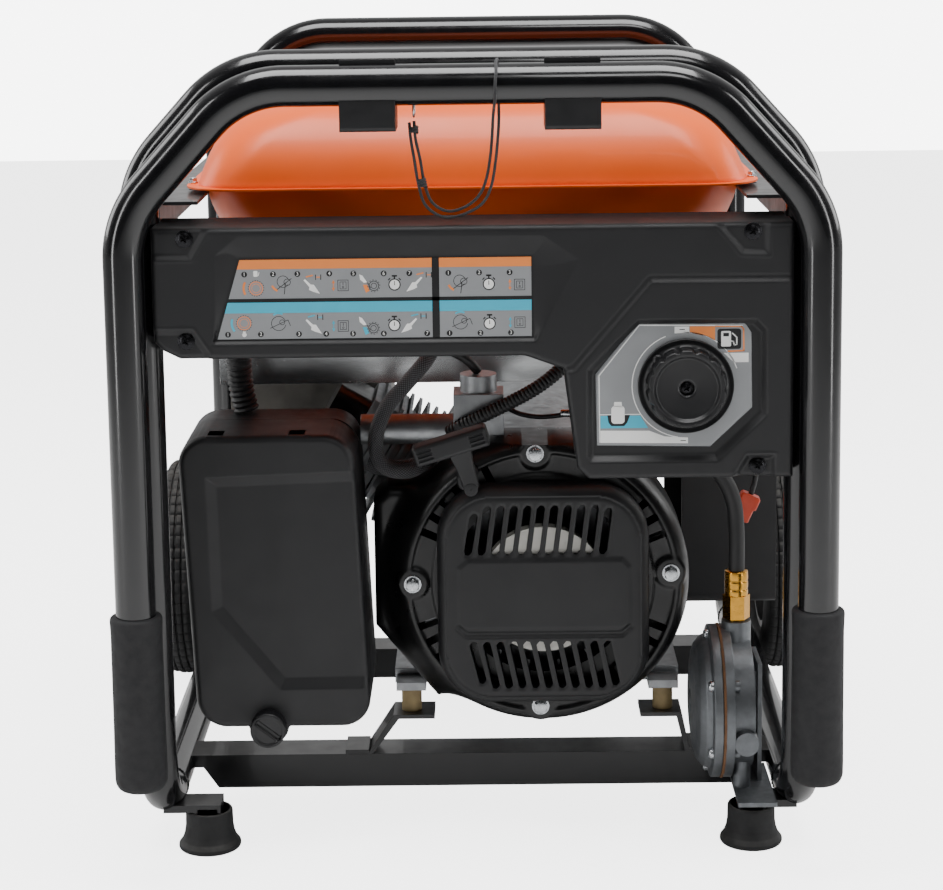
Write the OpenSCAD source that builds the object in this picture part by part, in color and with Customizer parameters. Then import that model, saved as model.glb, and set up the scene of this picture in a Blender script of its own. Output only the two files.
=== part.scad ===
// Open-frame portable generator: two tube hoops on bottom rails, folding U handle, pressed steel tank,
// moulded end panel with a fuel selector, recoil-start engine, alternator, gas regulator, feet and wheels.
// Origin: floor level, centre of the footprint. +X to the socket side, +Y to the wheels, +Z up.

/* [Frame] */
// Overall length from the grips to the back of the wheels
total_l = 741; // [730:1:755]
// Height of the top of the hoops above the floor
total_h = 730; // [725:1:740]
// Distance between the two hoops' tube centres
hoop_span = 638; // [625:1:645]
// Distance between the two posts' tube centres
post_w = 576; // [572:1:580]
// Outside diameter of the frame and handle tubes
tube_d = 35; // [34:0.5:36]
// Wall of the tubes
tube_wall = 2; // [1.5:0.5:3]
// Centre-line radius of the bends at the shoulders
bend_r = 90; // [80:1:95]
// Slope of the shoulders from level
shoulder_a = 48; // [46:1:50]

/* [Handle] */
// Distance between the tube centres of the handle's legs
handle_w = 592; // [590:1:596]
// How far the handle hangs in front of the front hoop
handle_gap = 42; // [40:1:44]
// How far the handle's bar sits below the hoop's top bar
handle_drop = 11; // [8:1:12]
// Outside diameter of the rubber grips
grip_d = 46; // [44:1:46]
// Length of a grip
grip_l = 158; // [120:1:170]
// Height of the grips' lower ends above the floor
grip_z = 86; // [80:1:100]

/* [Tank] */
// Width of the tank over its seam flange
tank_w = 512; // [490:1:516]
// Length of the tank over its seam flange
tank_l = 510; // [480:1:520]
// Height of the seam above the floor
seam_z = 604; // [602:1:606]
// Height of the upper shell
tank_up = 82; // [70:1:86]
// Depth of the lower shell
tank_down = 58; // [40:1:60]

/* [Engine] */
// Crankshaft centre from the middle plane
crank_x = 60; // [58:1:62]
// Crankshaft centre above the floor
crank_z = 238; // [236:1:240]
// Radius of the fan housing
fan_r = 135; // [130:1:136]
// Width of the recoil cover
recoil_w = 192; // [180:1:196]
// Height of the recoil cover
recoil_h = 202; // [190:1:206]

/* [Wheels and feet] */
// Diameter of the wheels
wheel_d = 241; // [230:1:245]
// Width of a tyre
wheel_w = 42; // [36:1:42]
// Distance between the wheels' outer ends
track_w = 706; // [704:1:716]
// Diameter of a foot's flared base
foot_d = 57; // [50:1:60]

/* [Lanyard] */
// Thickness of the paracord
cord_d = 2.6; // [2:0.2:2.8]

/* [Hidden] */

$fn = 48;
gap = 0.05;                 // radial clearance of a running fit
tube_r = tube_d / 2;
post_x = post_w / 2;
leg_x = handle_w / 2;
front_y = -(total_l / 2 - handle_gap - grip_d / 2);
rear_y = front_y + hoop_span;
handle_y = front_y - handle_gap;
hoop_z = total_h - tube_r;
handle_z = hoop_z - handle_drop;
low_r = 65;                 // centre-line radius of the bends at the foot of the posts
rail_z = 48;
rail_y0 = front_y + low_r;
rail_y1 = rear_y - low_r;
post_z0 = rail_z + low_r;
stub = 3;                   // straight end of a hoop where it meets the rail
hoop_corner = 205;          // where the hoop's bar and shoulder centre lines cross
handle_corner = 196;
wheel_r = wheel_d / 2;
axle_y = total_l / 2 - wheel_r;
axle_r = 8;
tyre_x = track_w / 2 - wheel_w - 2;
rim_r = 76;
foot_x = 248;
foot_y = front_y + 39.5;
foot_h = 36;
saddle_x = 86;
saddle_w = 47;
tank_y0 = front_y + 35.5;
tank_z1 = seam_z + tank_up;
cap_y = tank_y0 + 180;
cap_r = 42;
panel_y = handle_y + 2;     // front face of the end panel
panel_slab = 21;
panel_y1 = panel_y + 69.5;
panel_wall = 3.6;
knob_x = 181;
knob_z = 442;
knob_y = panel_y - 1;
case_y0 = -160;
case_y1 = 10;
housing_y0 = -240;
recoil_y0 = -267;
air_x0 = -265;
air_x1 = -108;
air_z0 = 119;
air_z1 = 388;
air_lean = 12;              // the foot of the air cleaner stands this far outboard of its top
air_split = -215;
air_front = -287;
air_back = -170;
air_knob_x = -189;
air_knob_z = 121;
tilt = 60;                  // the cylinder leans this far from upright
cyl_y = -75;
alt_y1 = 215;
alt_r = 108;
box_y0 = -20;
box_y1 = 220;
box_x0 = 205;
box_x1 = 300;
box_z0 = 150;
box_z1 = 480;
reg_y = front_y + 80.5;
reg_z = 120;
reg_r = 70;
fit_x = 230;
guide_x = -7;
guide_z = 342;
mount_z = 96;               // top of the engine's mounting brackets
base_z = 118;               // underside of the engine

steel_black = "#151517";
panel_black = "#2b2b2e";
tank_orange = "#f47b1c";
cast_grey = "#9da0a2";

// ---------------------------------------------------------------- shared shapes

// A solid between two Y planes from an outline in X and Z.
module slab_y(y0, y1) translate([0, y1, 0]) rotate([90, 0, 0]) linear_extrude(y1 - y0) children();

// A solid between two X planes from an outline in Y and Z.
module slab_x(x0, x1) translate([x0, 0, 0]) rotate([90, 0, 90]) linear_extrude(x1 - x0) children();

module bar_y(r, x, z, y0, y1) translate([x, y0, z]) rotate([-90, 0, 0]) cylinder(r = r, h = y1 - y0);
module bar_x(r, y, z, x0, x1) translate([x0, y, z]) rotate([0, 90, 0]) cylinder(r = r, h = x1 - x0);
module bar_z(r, x, y, z0, z1) translate([x, y, z0]) cylinder(r = r, h = z1 - z0);
module block(a, b) translate(a) cube(b - a);
module both_sides() {
    children();
    mirror([1, 0, 0]) children();
}

// A rectangle with round corners, from its lower left to its upper right corner.
module round_rect(a, b, r) {
    translate(a + [r, 0]) square(b - a - [2 * r, 0]);
    translate(a + [0, r]) square(b - a - [0, 2 * r]);
    for (x = [a[0] + r, b[0] - r], y = [a[1] + r, b[1] - r]) translate([x, y]) circle(r);
}

module tube_ring() difference() {
    circle(d = tube_d);
    circle(d = tube_d - 2 * tube_wall);
}

function unit(v) = v / norm(v);
function heading(p, i) = unit(p[min(i + 1, len(p) - 1)] - p[max(i - 1, 0)]);
function frames(p, i, n) = i >= len(p) ? [] :
    let (t = heading(p, i), m = unit(n - (n * t) * t))
    concat([[p[i], m, cross(t, m)]], frames(p, i + 1, m));
function between(a, b, c, d, u) = 0.5 * (2 * b + (c - a) * u + (2 * a - 5 * b + 4 * c - d) * u * u
    + (3 * b - a - 3 * c + d) * u * u * u);
function smooth(p, n) = concat([for (i = [0:len(p) - 2], j = [0:n - 1])
    between(p[max(i - 1, 0)], p[i], p[i + 1], p[min(i + 2, len(p) - 1)], j / n)], [p[len(p) - 1]]);

// A round flexible line through the route's points.
module line(route, d, sides = 10, n = 3, side = [0, 1, 0.01]) {
    f = frames(smooth(route, n), 0, unit(side));
    rows = len(f);
    polyhedron(
        points = [for (r = f, k = [0:sides - 1])
            r[0] + d / 2 * (cos(360 * k / sides) * r[1] + sin(360 * k / sides) * r[2])],
        faces = concat(
            [[for (k = [0:sides - 1]) k]],
            [for (i = [0:rows - 2], k = [0:sides - 1]) let (a = i * sides, m = (k + 1) % sides)
                [a + k, a + sides + k, a + sides + m, a + m]],
            [[for (k = [sides - 1:-1:0]) (rows - 1) * sides + k]]));
}

// An arc in the XZ plane, or in a YZ plane, as a list of points.
bend_n = 5;
function arc_xz(x, z, r, a0, a1) = [for (i = [0:bend_n]) let (a = a0 + (a1 - a0) * i / bend_n)
    [x + r * cos(a), 0, z + r * sin(a)]];
function arc_yz(x, y, z, r, a0, a1) = [for (i = [0:bend_n]) let (a = a0 + (a1 - a0) * i / bend_n)
    [x, y + r * cos(a), z + r * sin(a)]];

// The centre line of an arch: left leg, sloping shoulder, level bar, shoulder and right leg, without the legs' ends.
function arch_path(half_w, corner_x, top_z) = let (
        lean = 90 - shoulder_a,
        bar_x = corner_x - bend_r * tan(shoulder_a / 2),
        leg_z = top_z - (half_w - corner_x) * tan(shoulder_a) - bend_r * tan(lean / 2)
    ) concat(
        arc_xz(-half_w + bend_r, leg_z, bend_r, 180, 180 - lean),
        arc_xz(-bar_x, top_z - bend_r, bend_r, 90 + shoulder_a, 90),
        arc_xz(bar_x, top_z - bend_r, bend_r, 90, 90 - shoulder_a),
        arc_xz(half_w - bend_r, leg_z, bend_r, lean, 0));

// A round pipe along a path, open at both ends.
module pipe(path, sides = 20) {
    f = frames(path, 0, [0, 0.6, 0.8]);
    rows = len(f);
    inner = rows * sides;
    polyhedron(
        points = [for (r = [tube_r, tube_r - tube_wall], g = f, k = [0:sides - 1])
            g[0] + r * (cos(360 * k / sides) * g[1] + sin(360 * k / sides) * g[2])],
        faces = concat(
            [for (i = [0:rows - 2], k = [0:sides - 1]) let (a = i * sides, m = (k + 1) % sides)
                [a + k, a + sides + k, a + sides + m, a + m]],
            [for (i = [0:rows - 2], k = [0:sides - 1]) let (a = inner + i * sides, m = (k + 1) % sides)
                [a + k, a + m, a + sides + m, a + sides + k]],
            [for (k = [0:sides - 1]) let (m = (k + 1) % sides) [k, m, inner + m, inner + k]],
            [for (k = [0:sides - 1]) let (a = (rows - 1) * sides, m = (k + 1) % sides)
                [a + m, a + k, inner + a + k, inner + a + m]]));
}

function moved_y(p, y) = [for (q = p) q + [0, y, 0]];
module hoop(y, low_y, side_a, end_y) pipe(concat(
    [[-post_x, end_y, rail_z]], arc_yz(-post_x, low_y, post_z0, low_r, 270, side_a),
    moved_y(arch_path(post_x, hoop_corner, hoop_z), y),
    arc_yz(post_x, low_y, post_z0, low_r, side_a, 270), [[post_x, end_y, rail_z]]));

// ---------------------------------------------------------------- frame

module front_hoop() color(steel_black) hoop(front_y, rail_y0, 180, rail_y0 + stub);
module rear_hoop() color(steel_black) hoop(rear_y, rail_y1, 360, rail_y1 - stub);

module rail_solids(r) for (x = [-post_x, post_x]) bar_y(r, x, rail_z, rail_y0, rail_y1);

module bottom_rails() color(steel_black) for (x = [-post_x, post_x])
    translate([x, rail_y0 + stub, rail_z]) rotate([-90, 0, 0])
        linear_extrude(rail_y1 - rail_y0 - 2 * stub) tube_ring();

leg_w = 24;
leg_d = 30;
leg_z0 = 12;
module foot_legs() color(steel_black) both_sides() difference() {
    union() {
        block([foot_x - leg_w / 2, foot_y - leg_d / 2, leg_z0], [foot_x + leg_w / 2, foot_y + leg_d / 2, 44]);
        block([foot_x, foot_y - leg_d / 2, 37], [post_x, foot_y + leg_d / 2, 44]);
    }
    block([foot_x - leg_w / 2 + 3, foot_y - leg_d / 2 - 1, leg_z0 - 1],
        [foot_x + leg_w / 2 - 3, foot_y + leg_d / 2 - 3, 40]);
    translate([post_x, rail_y0, post_z0]) rotate([90, 0, 90])
        rotate_extrude(angle = 90, start = 180) translate([low_r, 0]) circle(tube_r + gap);
}

module rubber_feet() color("#1f1f20") for (s = [-1, 1]) translate([s * foot_x, foot_y, 0]) difference() {
    rotate_extrude() polygon([
        [0, 0], [foot_d / 2 - 1, 0], [foot_d / 2, 1.5], [foot_d / 2, 4], [24.5, 9], [22.5, 15], [21.5, 22],
        [21.5, foot_h - 1], [20.5, foot_h], [0, foot_h]
    ]);
    block([-leg_w / 2, -leg_d / 2, leg_z0], [leg_w / 2, leg_d / 2, foot_h + 1]);
}

module cross_channel(y0) difference() {
    slab_y(y0, y0 + 40) polygon([
        [-post_x, 58], [-post_x, 46], [-262, 46], [-248, 26], [248, 26], [262, 46], [post_x, 46], [post_x, 58]
    ]);
    block([-245, y0 + 3, 29], [245, y0 + 41, 55]);
    rail_solids(tube_r + gap);
}

module cross_members() color(steel_black) {
    cross_channel(-190);
    cross_channel(130);
}

// A Z-shaped bracket: foot on the cross-member at xf, raised shelf at xs.
module z_bracket(xf, xs, y0, y1, foot = 22) {
    s = sign(xs - xf);
    block([min(xf, xf - foot * s), y0, 58], [max(xf, xf - foot * s), y1, 62]);
    slab_y(y0, y1) polygon(s > 0
        ? [[xf - 1, 58], [xf + 4, 58], [xs - 12, mount_z - 4], [xs - 12, mount_z], [xs - 17, mount_z]]
        : [[xf + 1, 58], [xs + 17, mount_z], [xs + 12, mount_z], [xs + 12, mount_z - 4], [xf - 4, 58]]);
    block([min(xs - 16 * s, xs + 22 * s), y0, mount_z - 4], [max(xs - 16 * s, xs + 22 * s), y1, mount_z]);
}

engine_feet = [[-64, -172], [174, -172], [0, 150], [120, 150]];
module engine_mounts() color(steel_black) {
    z_bracket(-105, -64, -190, -152);
    z_bracket(198, 174, -190, -152, 10);
    z_bracket(-45, 0, 131, 169);
    z_bracket(165, 120, 131, 169);
}

module isolators() color("#b7a27a") for (p = engine_feet) bar_z(9.5, p[0], p[1], mount_z, base_z);

// ---------------------------------------------------------------- wheels

module axles() color("#55585a") both_sides() {
    difference() {
        union() {
            slab_x(post_x - 6, post_x + 6) polygon([
                [axle_y - 42, rail_z], [axle_y + 15, rail_z], [axle_y + 22, wheel_r], [axle_y + 12, wheel_r + 20],
                [axle_y - 12, wheel_r + 20], [axle_y - 22, wheel_r]
            ]);
            bar_x(axle_r + 6, axle_y, wheel_r, post_x + 5, tyre_x);
        }
        rail_solids(tube_r + gap);
    }
    bar_x(axle_r, axle_y, wheel_r, post_x + 5, track_w / 2 - 1);
    bar_x(axle_r + 4, axle_y, wheel_r, track_w / 2 - 3, track_w / 2);
}

module tyre(s) color("#262627") translate([s * (tyre_x + wheel_w / 2), axle_y, wheel_r]) rotate([0, 90, 0]) {
    rotate_extrude() polygon([
        [rim_r, -15], [rim_r + 14, -wheel_w / 2], [wheel_r - 12, -wheel_w / 2], [wheel_r - 2, -wheel_w / 2 + 7],
        [wheel_r, 0], [wheel_r - 2, wheel_w / 2 - 7], [wheel_r - 12, wheel_w / 2], [rim_r + 14, wheel_w / 2],
        [rim_r, 15]
    ]);
}

module rim(s) color("#1a1a1b") translate([s * (tyre_x + wheel_w / 2), axle_y, wheel_r]) rotate([0, 90, 0])
    difference() {
        union() {
            rotate_extrude() polygon([[rim_r - 7, -15], [rim_r, -15], [rim_r, 15], [rim_r - 7, 15]]);
            rotate_extrude() polygon([[0, -wheel_w / 2 + 1], [20, -wheel_w / 2 + 1], [20, wheel_w / 2 - 4],
                [0, wheel_w / 2 - 4]]);
            for (a = [0:72:288]) rotate(a) block([15, -9, -6], [rim_r - 3, 9, 6]);
        }
        cylinder(r = axle_r + gap, h = 60, center = true);
    }

module tyre_left() tyre(-1);
module tyre_right() tyre(1);
module rim_left() rim(-1);
module rim_right() rim(1);

// ---------------------------------------------------------------- handle

module handle_saddles() color("#1b1b1c") for (s = [-1, 1]) slab_x(s * saddle_x - saddle_w / 2,
    s * saddle_x + saddle_w / 2) difference() {
        union() {
            round_rect([handle_y - 13, handle_z - tube_r - 21], [front_y - 4, handle_z - 4], 4);
            translate([handle_y + 17, handle_z - 10]) square([22, 20]);
            intersection() {
                translate([handle_y, handle_z]) circle(tube_r + 4);
                translate([handle_y, handle_z - 10]) square([30, 40]);
            }
        }
        translate([handle_y, handle_z]) circle(tube_r + gap);
        translate([front_y, hoop_z]) circle(tube_r + gap);
    }

leg_end = [leg_x, 0, grip_z + 6];
module handle_tube() color(steel_black) pipe(moved_y(concat(
    [[-leg_x, 0, grip_z + 6]], arch_path(leg_x, handle_corner, handle_z), [leg_end]), handle_y));

module handle_grips() color("#3a3a3c") for (s = [-1, 1]) translate([s * leg_x, handle_y, grip_z])
    difference() {
        rotate_extrude() polygon([
            [0, 0], [grip_d / 2 - 8, 0], [grip_d / 2 - 3, 2], [grip_d / 2, 7], [grip_d / 2, grip_l - 2],
            [grip_d / 2 - 1, grip_l], [0, grip_l]
        ]);
        translate([0, 0, 6]) cylinder(d = tube_d, h = grip_l);
    }

pin_x = -48;
ring_y = handle_y + 21;
ring_z = 677;
module lock_pin() color("silver") {
    difference() {
        block([pin_x - 2, ring_y - 3, 685], [pin_x + 2, front_y, 700]);
        bar_x(tube_r + gap, front_y, hoop_z, pin_x - 3, pin_x + 3);
        bar_x(1.6, ring_y, 688, pin_x - 3, pin_x + 3);
    }
    translate([pin_x, ring_y, ring_z + 3.5]) rotate([90, 0, 90]) rotate_extrude() translate([7.5, 0]) circle(1.2);
}

// One cord tied through the ring, looped once round the handle's bar and brought back beside itself.
lanyard_route = [
    [-48, -326, 669], [-47, -329, 655], [-43, -331, 636], [-40, -332, 617], [-34, -333, 601],
    [-22, -334, 593], [-8, -334, 595], [5, -334, 604], [12, -333, 617], [16, -332, 636], [18, -331, 655],
    [19, -334, 671], [20, -342.5, 681.5], [20, -355.6, 682.8], [21, -364.7, 690.5], [21, -367.6, 702],
    [22, -363.8, 713.7], [22, -355.6, 720.2], [23, -344.8, 721.6], [23, -334.2, 716.9], [24, -328.4, 708.3],
    [24, -327.6, 698], [24, -329, 684],
    [24, -331, 670], [23, -333, 655], [21, -334, 636], [17, -335, 614], [9, -336, 599], [-7, -336, 590],
    [-24, -336, 588], [-39, -335, 598], [-45, -334, 617], [-48, -333, 636], [-51, -330, 655], [-52, -327, 668]
];
module lanyard() color("#101011") line(lanyard_route, cord_d, 8, 2);

// ---------------------------------------------------------------- tank

tank_y1 = tank_y0 + tank_l;
rail_in = 237;              // inner edge of the tank rails
module tank_rails() color(steel_black) both_sides() difference() {
    union() {
        block([rail_in, front_y, seam_z - 7], [post_x - 14, rear_y, seam_z - 4]);
        block([post_x - 17, front_y, seam_z - 34], [post_x - 14, rear_y, seam_z - 4]);
    }
    for (y = [front_y, rear_y]) bar_z(tube_r + 1.8, post_x, y, 400, 640);
    for (y = bolt_ys) bar_z(4.5, bolt_x, y, seam_z - 9, seam_z);
}

bolt_x = 252;
bolt_ys = [tank_y0 + 60, tank_y1 - 60];

module shell_form(inset, z0, z1, low, high, r) hull() {
    for (sx = [-1, 1], sy = [0, 1]) {
        x = tank_w / 2 - low - inset - 45;
        y = (sy == 0 ? tank_y0 + low + inset + 45 : tank_y1 - low - inset - 45);
        translate([sx * x, y, z0]) cylinder(r = 45, h = 0.5, $fn = 32);
        xt = tank_w / 2 - high - inset - r;
        yt = (sy == 0 ? tank_y0 + high + inset + r : tank_y1 - high - inset - r);
        translate([sx * xt, yt, z1]) cylinder(r = r, h = 0.5, $fn = 32);
    }
}

module tank_upper() color(tank_orange) difference() {
    union() {
        difference() {
            union() {
                hull() {
                    shell_form(0, seam_z, seam_z + 22, 9, 20, 45);
                    shell_form(0, seam_z, tank_z1 - 0.5, 9, 62, 50);
                }
            }
            hull() {
                shell_form(2, seam_z - 1, seam_z + 20, 9, 20, 45);
                shell_form(2, seam_z - 1, tank_z1 - 2.5, 9, 62, 50);
            }
        }
        translate([0, 0, seam_z]) linear_extrude(1.5) difference() {
            round_rect([-tank_w / 2, tank_y0], [tank_w / 2, tank_y1], 50);
            round_rect([-tank_w / 2 + 11, tank_y0 + 11], [tank_w / 2 - 11, tank_y1 - 11], 40);
        }
        bar_z(34, 0, cap_y, tank_z1 - 22, tank_z1 + 12);
    }
    bar_z(31, 0, cap_y, tank_z1 - 30, tank_z1 + 20);
}

module tank_lower() color(tank_orange) difference() {
    hull() {
        translate([0, 0, seam_z - 1.5]) linear_extrude(1.5) round_rect([-rail_in + 3, tank_y0 + 13],
            [rail_in - 3, tank_y1 - 13], 45);
        translate([0, 0, seam_z - tank_down]) linear_extrude(1) round_rect([-rail_in + 28, tank_y0 + 38],
            [rail_in - 28, tank_y1 - 38], 60);
    }
    hull() {
        translate([0, 0, seam_z - 1]) linear_extrude(3) round_rect([-rail_in + 5, tank_y0 + 15],
            [rail_in - 5, tank_y1 - 15], 43);
        translate([0, 0, seam_z - tank_down + 2]) linear_extrude(1) round_rect([-rail_in + 30, tank_y0 + 40],
            [rail_in - 30, tank_y1 - 40], 58);
    }
}

module fuel_cap() color("#1d1d1e") translate([0, cap_y, 0]) difference() {
    union() {
        bar_z(cap_r, 0, 0, tank_z1 + 2.5, tank_z1 + 24);
        for (a = [0:30:330]) rotate(a) translate([cap_r - 0.5, 0, tank_z1 + 3]) cylinder(r = 3, h = 20);
    }
    bar_z(35, 0, 0, tank_z1 + 1, tank_z1 + 14);
}

// ---------------------------------------------------------------- end panel and selector

// The panel's outline seen from the front, drawn in by a margin.
function panel_outline(m, side) = [
    [-side + m, 582 - m], [-side + m, 484 + m / 2], [-side + 8 + m, 476 + m], [-side + 22 + m, 469 + m],
    [44 + m / 2, 469 + m], [77 + m, 457 + m], [88 + m, 371 + m], [98 + m / 2, 361 + m], [side - m, 361 + m],
    [side - m, 582 - m]
];

panel_screw_spots = [[-244, 573], [-245, 485], [238, 574], [243, 371]];
module front_panel() color(panel_black) difference() {
    union() {
        slab_y(panel_y, panel_y + panel_slab) polygon(panel_outline(0, 273));
        slab_y(panel_y + panel_slab, panel_y1) polygon(panel_outline(8, 273));
    }
    slab_y(panel_y + panel_wall, panel_y1 + 1) polygon(panel_outline(8 + panel_wall, 273));
    bar_y(7, knob_x, knob_z, panel_y - 1, panel_y + panel_wall + 1);
    for (p = panel_screw_spots) bar_y(3, p[0], p[1], panel_y - 1, panel_y + panel_wall + 8.5);
}

module hex_bolt(x, z, y0, len, r = 6.5, grip = 3.4) {
    translate([x, y0, z]) rotate([-90, 0, 0]) {
        cylinder(r = r, h = 5, $fn = 6);
        translate([0, 0, 5]) cylinder(r = r + 1.5, h = 1.2);
        translate([0, 0, 6]) cylinder(r = grip, h = len);
    }
}

housing_bolts = [for (a = [3, 92.5, 181, 269]) [crank_x - 1 + 118 * cos(a), crank_z + 2 + 119 * sin(a)]];
module fasteners() color("silver") {
    for (p = panel_screw_spots) translate([p[0], panel_y, p[1]]) rotate([-90, 0, 0]) {
        translate([0, 0, -3]) cylinder(r = 6.2, h = 3);
        translate([0, 0, -0.5]) cylinder(r = 3, h = 12);
    }
    for (p = housing_bolts) hex_bolt(p[0], p[1], housing_y0 - 6.2, 5);
    for (x = [-bolt_x, bolt_x], y = bolt_ys) translate([x, y, 0]) {
        translate([0, 0, seam_z + 1.5]) cylinder(r = 4.3, h = 1.5);
        translate([0, 0, seam_z + 3]) cylinder(r = 3.8, h = 4, $fn = 6);
    }
}

label_skin = 0.8;
module instruction_label() color("#77797b") slab_y(panel_y - label_skin, panel_y)
    polygon([[-218, 487], [50, 486], [49, 554], [-197, 555]]);

module selector_plate() color("#9a9c9e") slab_y(panel_y - 1, panel_y) difference() {
    polygon([[140, 497], [231, 496], [237, 487], [238, 422], [202, 388], [105, 390], [104, 452]]);
    translate([knob_x, knob_z]) circle(7);
}

module selector_knob() color("#1a1a1b") {
    bar_y(41, knob_x, knob_z, knob_y - 5, knob_y - 0.4);
    difference() {
        union() {
            bar_y(32, knob_x, knob_z, knob_y - 20, knob_y - 5);
            for (a = [0:30:330]) bar_y(5, knob_x + 29.5 * cos(a), knob_z + 29.5 * sin(a), knob_y - 18, knob_y - 5);
        }
        bar_y(23, knob_x, knob_z, knob_y - 21, knob_y - 17);
    }
    bar_y(5, knob_x, knob_z, knob_y - 5, panel_y + 34);
}

module selector_valve() color(cast_grey) difference() {
    union() {
        block([knob_x - 28, panel_y + panel_wall, knob_z - 24], [knob_x + 28, panel_y + 60, knob_z + 24]);
        bar_y(9, knob_x - 4, knob_z, panel_y + 59, panel_y + 76);
        bar_z(6, knob_x - 18, panel_y + 40, knob_z - 32, knob_z - 23);
    }
    bar_y(5 + gap, knob_x, knob_z, panel_y, panel_y + 38);
}

// ---------------------------------------------------------------- engine

module crankcase() color(cast_grey) difference() {
    union() {
        slab_y(case_y0, case_y1) round_rect([crank_x - 98, base_z + 8], [crank_x + 105, 350], 30);
        block([crank_x - 140, case_y0, base_z], [crank_x + 130, case_y1, base_z + 14]);
        for (x = [-78, 160]) block([x, case_y0 - 25, base_z], [x + 28, case_y0 + 1, base_z + 8]);
        bar_z(11, 140, -40, 340, 362);
    }
    bar_y(12.5 + gap, crank_x, crank_z, case_y0 - 1, case_y1 + 1);
    bar_y(70, crank_x, crank_z, case_y0 + 30, case_y1 - 30);
}

// The barrel's own frame: +Z runs from the crankshaft to the head.
module on_cylinder() translate([crank_x, cyl_y, crank_z]) rotate([0, -tilt, 0]) children();

module barrel() color(cast_grey) difference() {
    on_cylinder() difference() {
        union() {
            translate([0, 0, 60]) linear_extrude(115) circle(48);
            for (t = [108:9:171]) translate([-54, -52, t]) cube([108, 104, 3]);
        }
        translate([0, 0, 50]) linear_extrude(140) circle(44);
    }
    slab_y(case_y0, case_y1) round_rect([crank_x - 98 - gap, base_z + 8], [crank_x + 105, 350], 30);
    block([crank_x - 140, case_y0, base_z], [crank_x + 130, case_y1, base_z + 14.5]);
}

module cylinder_head() color(cast_grey) on_cylinder() {
    translate([-50, -48, 175]) cube([100, 96, 34]);
    for (t = [180:9:198]) translate([-56, -54, t]) cube([112, 108, 3]);
}

module valve_cover() color("#2a2a2b") on_cylinder() translate([0, 0, 209]) linear_extrude(34)
    round_rect([-44, -40], [44, 40], 12);

module fan_housing() color("#121213") difference() {
    union() {
        bar_y(fan_r, crank_x, crank_z, housing_y0, case_y0);
        slab_y(housing_y0 + 22, case_y0) polygon([[-95, 190], [-38, 121], [crank_x, crank_z], [-36, 322],
            [-82, 322], [-95, 310]]);
    }
    bar_y(fan_r - 3, crank_x, crank_z, housing_y0 + 3, case_y0 + 1);
    bar_y(84, crank_x, crank_z, housing_y0 - 1, housing_y0 + 4);
    for (p = housing_bolts) bar_y(3.5, p[0], p[1], housing_y0 - 1, housing_y0 + 4);
    for (s = [0, 180], a = [10:8:34], b = [-1, 1]) translate([crank_x, 0, crank_z]) rotate([0, s + b * a, 0])
        block([96, housing_y0 - 1, -2.4], [116, housing_y0 + 4, 2.4]);
}

module recoil_outline(m) round_rect([crank_x - recoil_w / 2 + m, crank_z - 6 - recoil_h / 2 + m],
    [crank_x + recoil_w / 2 - m, crank_z - 6 + recoil_h / 2 - m], 46 - m);

slot_n = 11;
module recoil_cover() color(panel_black) {
    difference() {
        union() {
            slab_y(recoil_y0, recoil_y0 + 8) recoil_outline(7);
            slab_y(recoil_y0 + 4, housing_y0) recoil_outline(0);
        }
        slab_y(recoil_y0 + 3.5, housing_y0 + 1) recoil_outline(11);
        for (k = [0:slot_n - 1]) {
            x = crank_x - 65 + k * 12.15;
            slab_y(recoil_y0 - 1, recoil_y0 + 5) polygon([[x - 5.7, 274], [x + 0.3, 274], [x + 5.7, 313],
                [x - 0.3, 313]]);
            slab_y(recoil_y0 - 1, recoil_y0 + 5) polygon([[x + 6, 150], [x + 12, 150], [x + 4, 187], [x - 2, 187]]);
        }
    }
    bar_y(8, crank_x, crank_z, recoil_y0 + 2, housing_y0);
}

module recoil_pulley() color("#d8d8d4") translate([crank_x, 0, crank_z]) rotate([-90, 0, 0])
    rotate_extrude() polygon([
        [8 + gap, recoil_y0 + 6], [58, recoil_y0 + 6], [58, recoil_y0 + 8], [50, recoil_y0 + 11],
        [50, recoil_y0 + 15], [58, recoil_y0 + 18], [58, recoil_y0 + 20], [8 + gap, recoil_y0 + 20]
    ]);

module rope_guide() color("#1c1c1d") difference() {
    bar_y(9.5, guide_x, guide_z, recoil_y0 - 6, housing_y0);
    bar_y(4, guide_x, guide_z, recoil_y0 - 7, housing_y0 + 1);
}

pull_at = [-21, recoil_y0 - 33, 381];
module pull_handle() color("#242425") {
    translate(pull_at) rotate([0, -17, 0]) {
        difference() {
            translate([-34, -10, -9]) cube([68, 20, 18]);
            for (x = [-26:7.4:27]) translate([x - 1.6, -11, -6]) cube([3.2, 3, 12]);
        }
        translate([6, 0, -42]) cylinder(r1 = 5.5, r2 = 9, h = 34);
    }
    bar_y(6, guide_x + 3, guide_z, pull_at[1], recoil_y0 - 6.4);
}

module flywheel() color("#8f9294") difference() {
    union() {
        bar_y(100, crank_x, crank_z, housing_y0 + 36, housing_y0 + 62);
        for (a = [0:20:340]) translate([crank_x, 0, crank_z]) rotate([0, a, 0])
            block([78, housing_y0 + 14, -1.5], [116, housing_y0 + 50, 1.5]);
        bar_y(40, crank_x, crank_z, housing_y0 + 10, housing_y0 + 40);
    }
    bar_y(12.5, crank_x, crank_z, housing_y0, case_y0);
}

module crankshaft() color("#b4b6b8") {
    bar_y(12.5, crank_x, crank_z, housing_y0 + 8, alt_y1 + 30);
    for (y = [case_y0 + 50, case_y1 - 68]) slab_y(y, y + 18) translate([crank_x, crank_z])
        round_rect([-25, -55], [25, 38], 14);
    bar_y(17, crank_x, crank_z + 22, case_y0 + 60, case_y1 - 60);
}

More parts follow.
